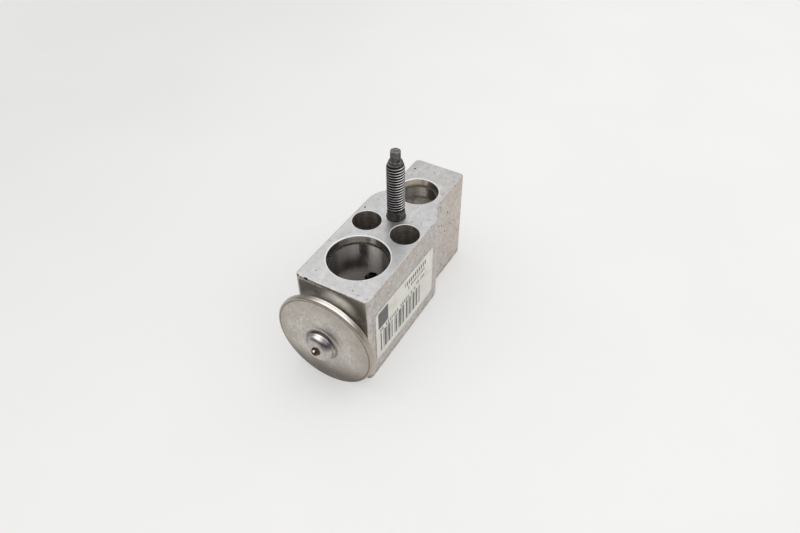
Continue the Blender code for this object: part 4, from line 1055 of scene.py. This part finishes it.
# A painted highlight: a near-white, non-metal spot on the ball's side towards the light
painted_highlight = ramp(tree, beside_spot, 0.55, 0.22)
scorch = ramp(tree, xyz_of(tree, from_middle)["X"], 0.45, 1.1)
burnt = mix_colour(tree, grain["Mottle"], (0.014, 0.009, 0.006, 1), (0.06, 0.034, 0.018, 1))
colour = layered(tree, burnt, (
    (times(tree, scorch, grain["Mottle"]), (0.16, 0.09, 0.045, 1)),
    (painted_highlight, (0.98, 0.96, 0.93, 1))))
set_inputs(tree, shader, {
    "Base Color": colour, "Metallic": mix_number(tree, painted_highlight, 0.7, 0.0), "Roughness": 0.22})
plug_bm = bmesh.new()
bmesh.ops.create_uvsphere(plug_bm, u_segments=48, v_segments=24, radius=ball_radius,
                          matrix=Matrix.Translation(ball_middle))
plug = made_piece("charge_ball", plug_bm, [plug_steel], "housing", ["charge_plug_ball"], weighted=False)

scorched, tree, shader = new_material("scorched_weld")
grain = grain_on(tree, millimetres(tree), 4.0)
set_inputs(tree, shader, {
    "Base Color": mix_colour(tree, grain["Mottle"], (0.012, 0.007, 0.004, 1), (0.16, 0.075, 0.03, 1)),
    "Roughness": 0.35, "Metallic": 0.6})
bumped(tree, shader, grain["Height"], 0.8, 0.05)
weld_line = [(1.49, well_depth_mm), (1.49, boss_front_mm + 0.16), (1.42, boss_front_mm + 0.22),
             (1.2, boss_front_mm + 0.6), (1.0, boss_front_mm + 0.8), (0.9, well_depth_mm)]
weld_bm = bmesh.new()
turned(weld_bm, weld_line, 64, axis_mm, "Y", closed=True)
weld = made_piece("plug_weld", weld_bm, [scorched], "housing", (), 60)


# Label
# A paper label with a clear coat, stuck on the block's +X side. Its print is kept plain: a field
# of upright bars, a solid block and a few rows of dashes, with nothing to read.
label_length_mm = 37.1
label_height_mm = 21.0
label_corner_mm = 1.6
label_low_mm = (3.9, 6.0)
label_tilt = math.radians(-0.7)
label_layers_mm = ((0.01, 0.0), (0.12, 0.0), (0.17, 0.05))
bar_pitch_mm = 2.3
bar_field_mm = (2.2, 28.2, 2.3, 10.8)
solid_field_mm = (1.5, 7.4, 13.3, 20.3)
dash_rows_mm = (((1.6, 25.0, 11.25, 12.6), 1.15), ((18.2, 32.2, 17.3, 19.2), 1.35),
                ((18.8, 31.6, 15.2, 16.5), 0.95), ((25.4, 32.6, 12.4, 13.7), 0.95))

label_paper, tree, shader = new_material("label_paper")
place = millimetres(tree)
spot = xyz_of(tree, place)
along_label = maths(tree, "SUBTRACT", spot["Y"], block_low.y * 1000 + label_low_mm[0])
up_label = maths(tree, "SUBTRACT", spot["Z"], label_low_mm[1])
up_label = maths(tree, "MULTIPLY_ADD", along_label, math.tan(-label_tilt), up_label)


def strip_mask(tree, value, low, high, soft=0.08):
    """One inside low..high, and zero outside."""
    return band(tree, value, (low - soft, low + soft), (high - soft, high + soft))


def field_mask(tree, field_mm):
    low_y, high_y, low_z, high_z = field_mm
    upright = strip_mask(tree, up_label, low_z, high_z)
    return times(tree, strip_mask(tree, along_label, low_y, high_y), upright)


def share_along(tree, pitch_mm):
    """How far along its own bar or dash a place lies, from 0 to 1."""
    return maths(tree, "FRACT", maths(tree, "DIVIDE", along_label, pitch_mm))


def chance_along(tree, pitch_mm, seed):
    """A number from 0 to 1 that differs from one bar or dash to the next."""
    cell = maths(tree, "FLOOR", maths(tree, "MULTIPLY_ADD", along_label, 1 / pitch_mm, seed))
    thrown = add_node(tree, "ShaderNodeTexWhiteNoise", {"noise_dimensions": "1D"}, {"W": cell})
    return thrown.outputs["Value"]


bar_share = share_along(tree, bar_pitch_mm)
wide_end = maths(tree, "MULTIPLY_ADD", chance_along(tree, bar_pitch_mm, 0.0), 0.42, 0.3)
wide_bar = times(tree, ramp(tree, bar_share, 0.06, 0.1), maths(tree, "LESS_THAN", bar_share, wide_end))
thin_bar = times(tree, strip_mask(tree, bar_share, 0.8, 0.92, 0.03),
                 ramp(tree, chance_along(tree, bar_pitch_mm, 5.0), 0.35, 0.37))
print_mask = times(tree, maths(tree, "MAXIMUM", wide_bar, thin_bar), field_mask(tree, bar_field_mm))
print_mask = maths(tree, "MAXIMUM", print_mask, field_mask(tree, solid_field_mm))
for count, (field_mm, dash_mm) in enumerate(dash_rows_mm):
    kept = ramp(tree, chance_along(tree, dash_mm, 9.0 * count), 0.15, 0.17)
    dashes = strip_mask(tree, share_along(tree, dash_mm), 0.15, 0.72)
    dashes = times(tree, dashes, kept, field_mask(tree, field_mm))
    print_mask = maths(tree, "MAXIMUM", print_mask, dashes)
grain = grain_on(tree, place, 3.0)
marks = marks_on(tree, place, 0.7, 0.8)
ink_left = times(tree, print_mask, ramp(tree, grain["Height"], 0.36, 0.46, 0.7, 0.98))
colour = layered(tree, mix_colour(tree, marks["Smudges"], (0.67, 0.655, 0.60, 1), (0.55, 0.53, 0.475, 1)), (
    (ink_left, (0.04, 0.04, 0.042, 1)),
    (times(tree, marks["Scratches"], 0.5), (0.74, 0.72, 0.68, 1))))
set_inputs(tree, shader, {
    "Base Color": colour, "Roughness": 0.42, "Coat Weight": 0.15, "Coat Roughness": 0.25})
bumped(tree, shader, grain["Height"], 0.15, 0.02)

label_bm = bmesh.new()
inner_length_mm = label_length_mm - label_corner_mm
inner_height_mm = label_height_mm - label_corner_mm
corners = ((label_corner_mm, label_corner_mm, math.pi), (inner_length_mm, label_corner_mm, 1.5 * math.pi),
           (inner_length_mm, inner_height_mm, 0), (label_corner_mm, inner_height_mm, math.pi / 2))
label_edge = []
for y, z, start in corners:
    label_edge += arc_points((y, z), label_corner_mm, start, start + math.pi / 2, corner_steps)
label_loops = []
for height_mm, inset in label_layers_mm:
    loop = []
    for y, z in label_edge:
        y += inset if y < label_length_mm / 2 else -inset
        z += inset if z < label_height_mm / 2 else -inset
        z += y * math.tan(label_tilt)
        x = block_width_mm / 2 + height_mm
        loop.append(label_bm.verts.new(from_block((x, label_low_mm[0] + y, label_low_mm[1] + z))))
    label_loops.append(loop)
bridged(label_bm, label_loops)
label_bm.faces.new(reversed(label_loops[0]))
label_bm.faces.new(label_loops[-1])
label = made_piece("side_label", label_bm, [label_paper], "housing", ["label"])


# Inner pieces and the far end's screw
# Turned steel and brass, bored and ground, with rubber rings in their grooves. They keep the
# frame's own solids, and get turned, ground or moulded finishes.
def turned_metal(name, dark, light, rough, feed, metallic=1.0):
    """Bright metal from the lathe, with its rings along the valve's axis."""
    material, tree, shader = new_material(name)
    place = millimetres(tree)
    rings = rings_on(tree, xyz_of(tree, place)["Y"], feed)
    grain = grain_on(tree, place, 3.0)
    wear = wear_on(tree, place, 0.0002, 1.5)
    colour = layered(tree, mix_colour(tree, grain["Mottle"], dark, light),
                     [(times(tree, wear, 0.5), (0.85, 0.82, 0.76, 1))])
    roughness = ramp(tree, rings, 0.2, 0.8, rough - 0.05, rough + 0.08)
    set_inputs(tree, shader, {"Base Color": colour, "Roughness": roughness, "Metallic": metallic})
    bumped(tree, shader, rings, 0.2, 0.01)
    return material


ground_steel = turned_metal(
    "ground_steel", dark=(0.40, 0.39, 0.38, 1), light=(0.58, 0.57, 0.55, 1), rough=0.25, feed=8.0)
# The sensing rod is near-black all over
rod_steel = turned_metal(
    "near_black_rod", dark=(0.012, 0.012, 0.013, 1), light=(0.04, 0.038, 0.037, 1), rough=0.4, feed=6.0,
    metallic=0.6)
turned_brass = turned_metal(
    "turned_brass", dark=(0.52, 0.37, 0.15, 1), light=(0.74, 0.56, 0.28, 1), rough=0.3, feed=5.0)
moulded_rubber, tree, shader = new_material("moulded_rubber")
grain = grain_on(tree, millimetres(tree), 4.0)
set_inputs(tree, shader, {
    "Base Color": mix_colour(tree, grain["Mottle"], (0.012, 0.012, 0.013, 1), (0.035, 0.035, 0.036, 1)),
    "Roughness": 0.55})
bumped(tree, shader, grain["Height"], 0.3, 0.02)
inner_finishes = (
    (ground_steel, ("diaphragm", "diaphragm_pad", "push_pin", "seal_retainer", "orifice_ring", "valve_ball",
                    "damper_spring")),
    (rod_steel, ("sensing_rod",)),
    (turned_brass, ("ball_carrier", "adjusting_screw")),
    (moulded_rubber, ("capsule_o_ring", "pin_o_ring", "adjuster_o_ring")),
)
for finish, names in inner_finishes:
    for name in names:
        for material_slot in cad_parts[name].material_slots:
            material_slot.material = finish


# Superheat spring
# A coil of ground spring steel that gives way between the ball's carrier and the adjusting screw.
# It is made in two halves, cut across at its middle.
closed_turn = 0.0014
spring_low, spring_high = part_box("superheat_spring")
spring_middle = (spring_low + spring_high) / 2
near_turn = Vector((spring_middle.x, spring_low.y + closed_turn, spring_middle.z))
far_turn = Vector((spring_middle.x, spring_high.y - closed_turn, spring_middle.z))
spring_halves = (("spring_near_half", False, "valve_train", "housing", near_turn, spring_middle),
                 ("spring_far_half", True, "housing", "screw_carriage", spring_middle, far_turn))
for name, far_half, near_body, far_body, start, end in spring_halves:
    half_bm = bmesh.new()
    half_bm.from_mesh(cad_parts["superheat_spring"].data)
    whole = half_bm.verts[:] + half_bm.edges[:] + half_bm.faces[:]
    cut = bmesh.ops.bisect_plane(half_bm, geom=whole, dist=1e-7, plane_co=spring_middle, plane_no=(0, 1, 0),
                                 clear_inner=far_half, clear_outer=not far_half)
    cut_edges = [edge for edge in cut["geom_cut"] if isinstance(edge, bmesh.types.BMEdge)]
    bmesh.ops.holes_fill(half_bm, edges=cut_edges)
    half = made_piece(name, half_bm, [ground_steel], None, ["superheat_spring"], weighted=False)
    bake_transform(half)
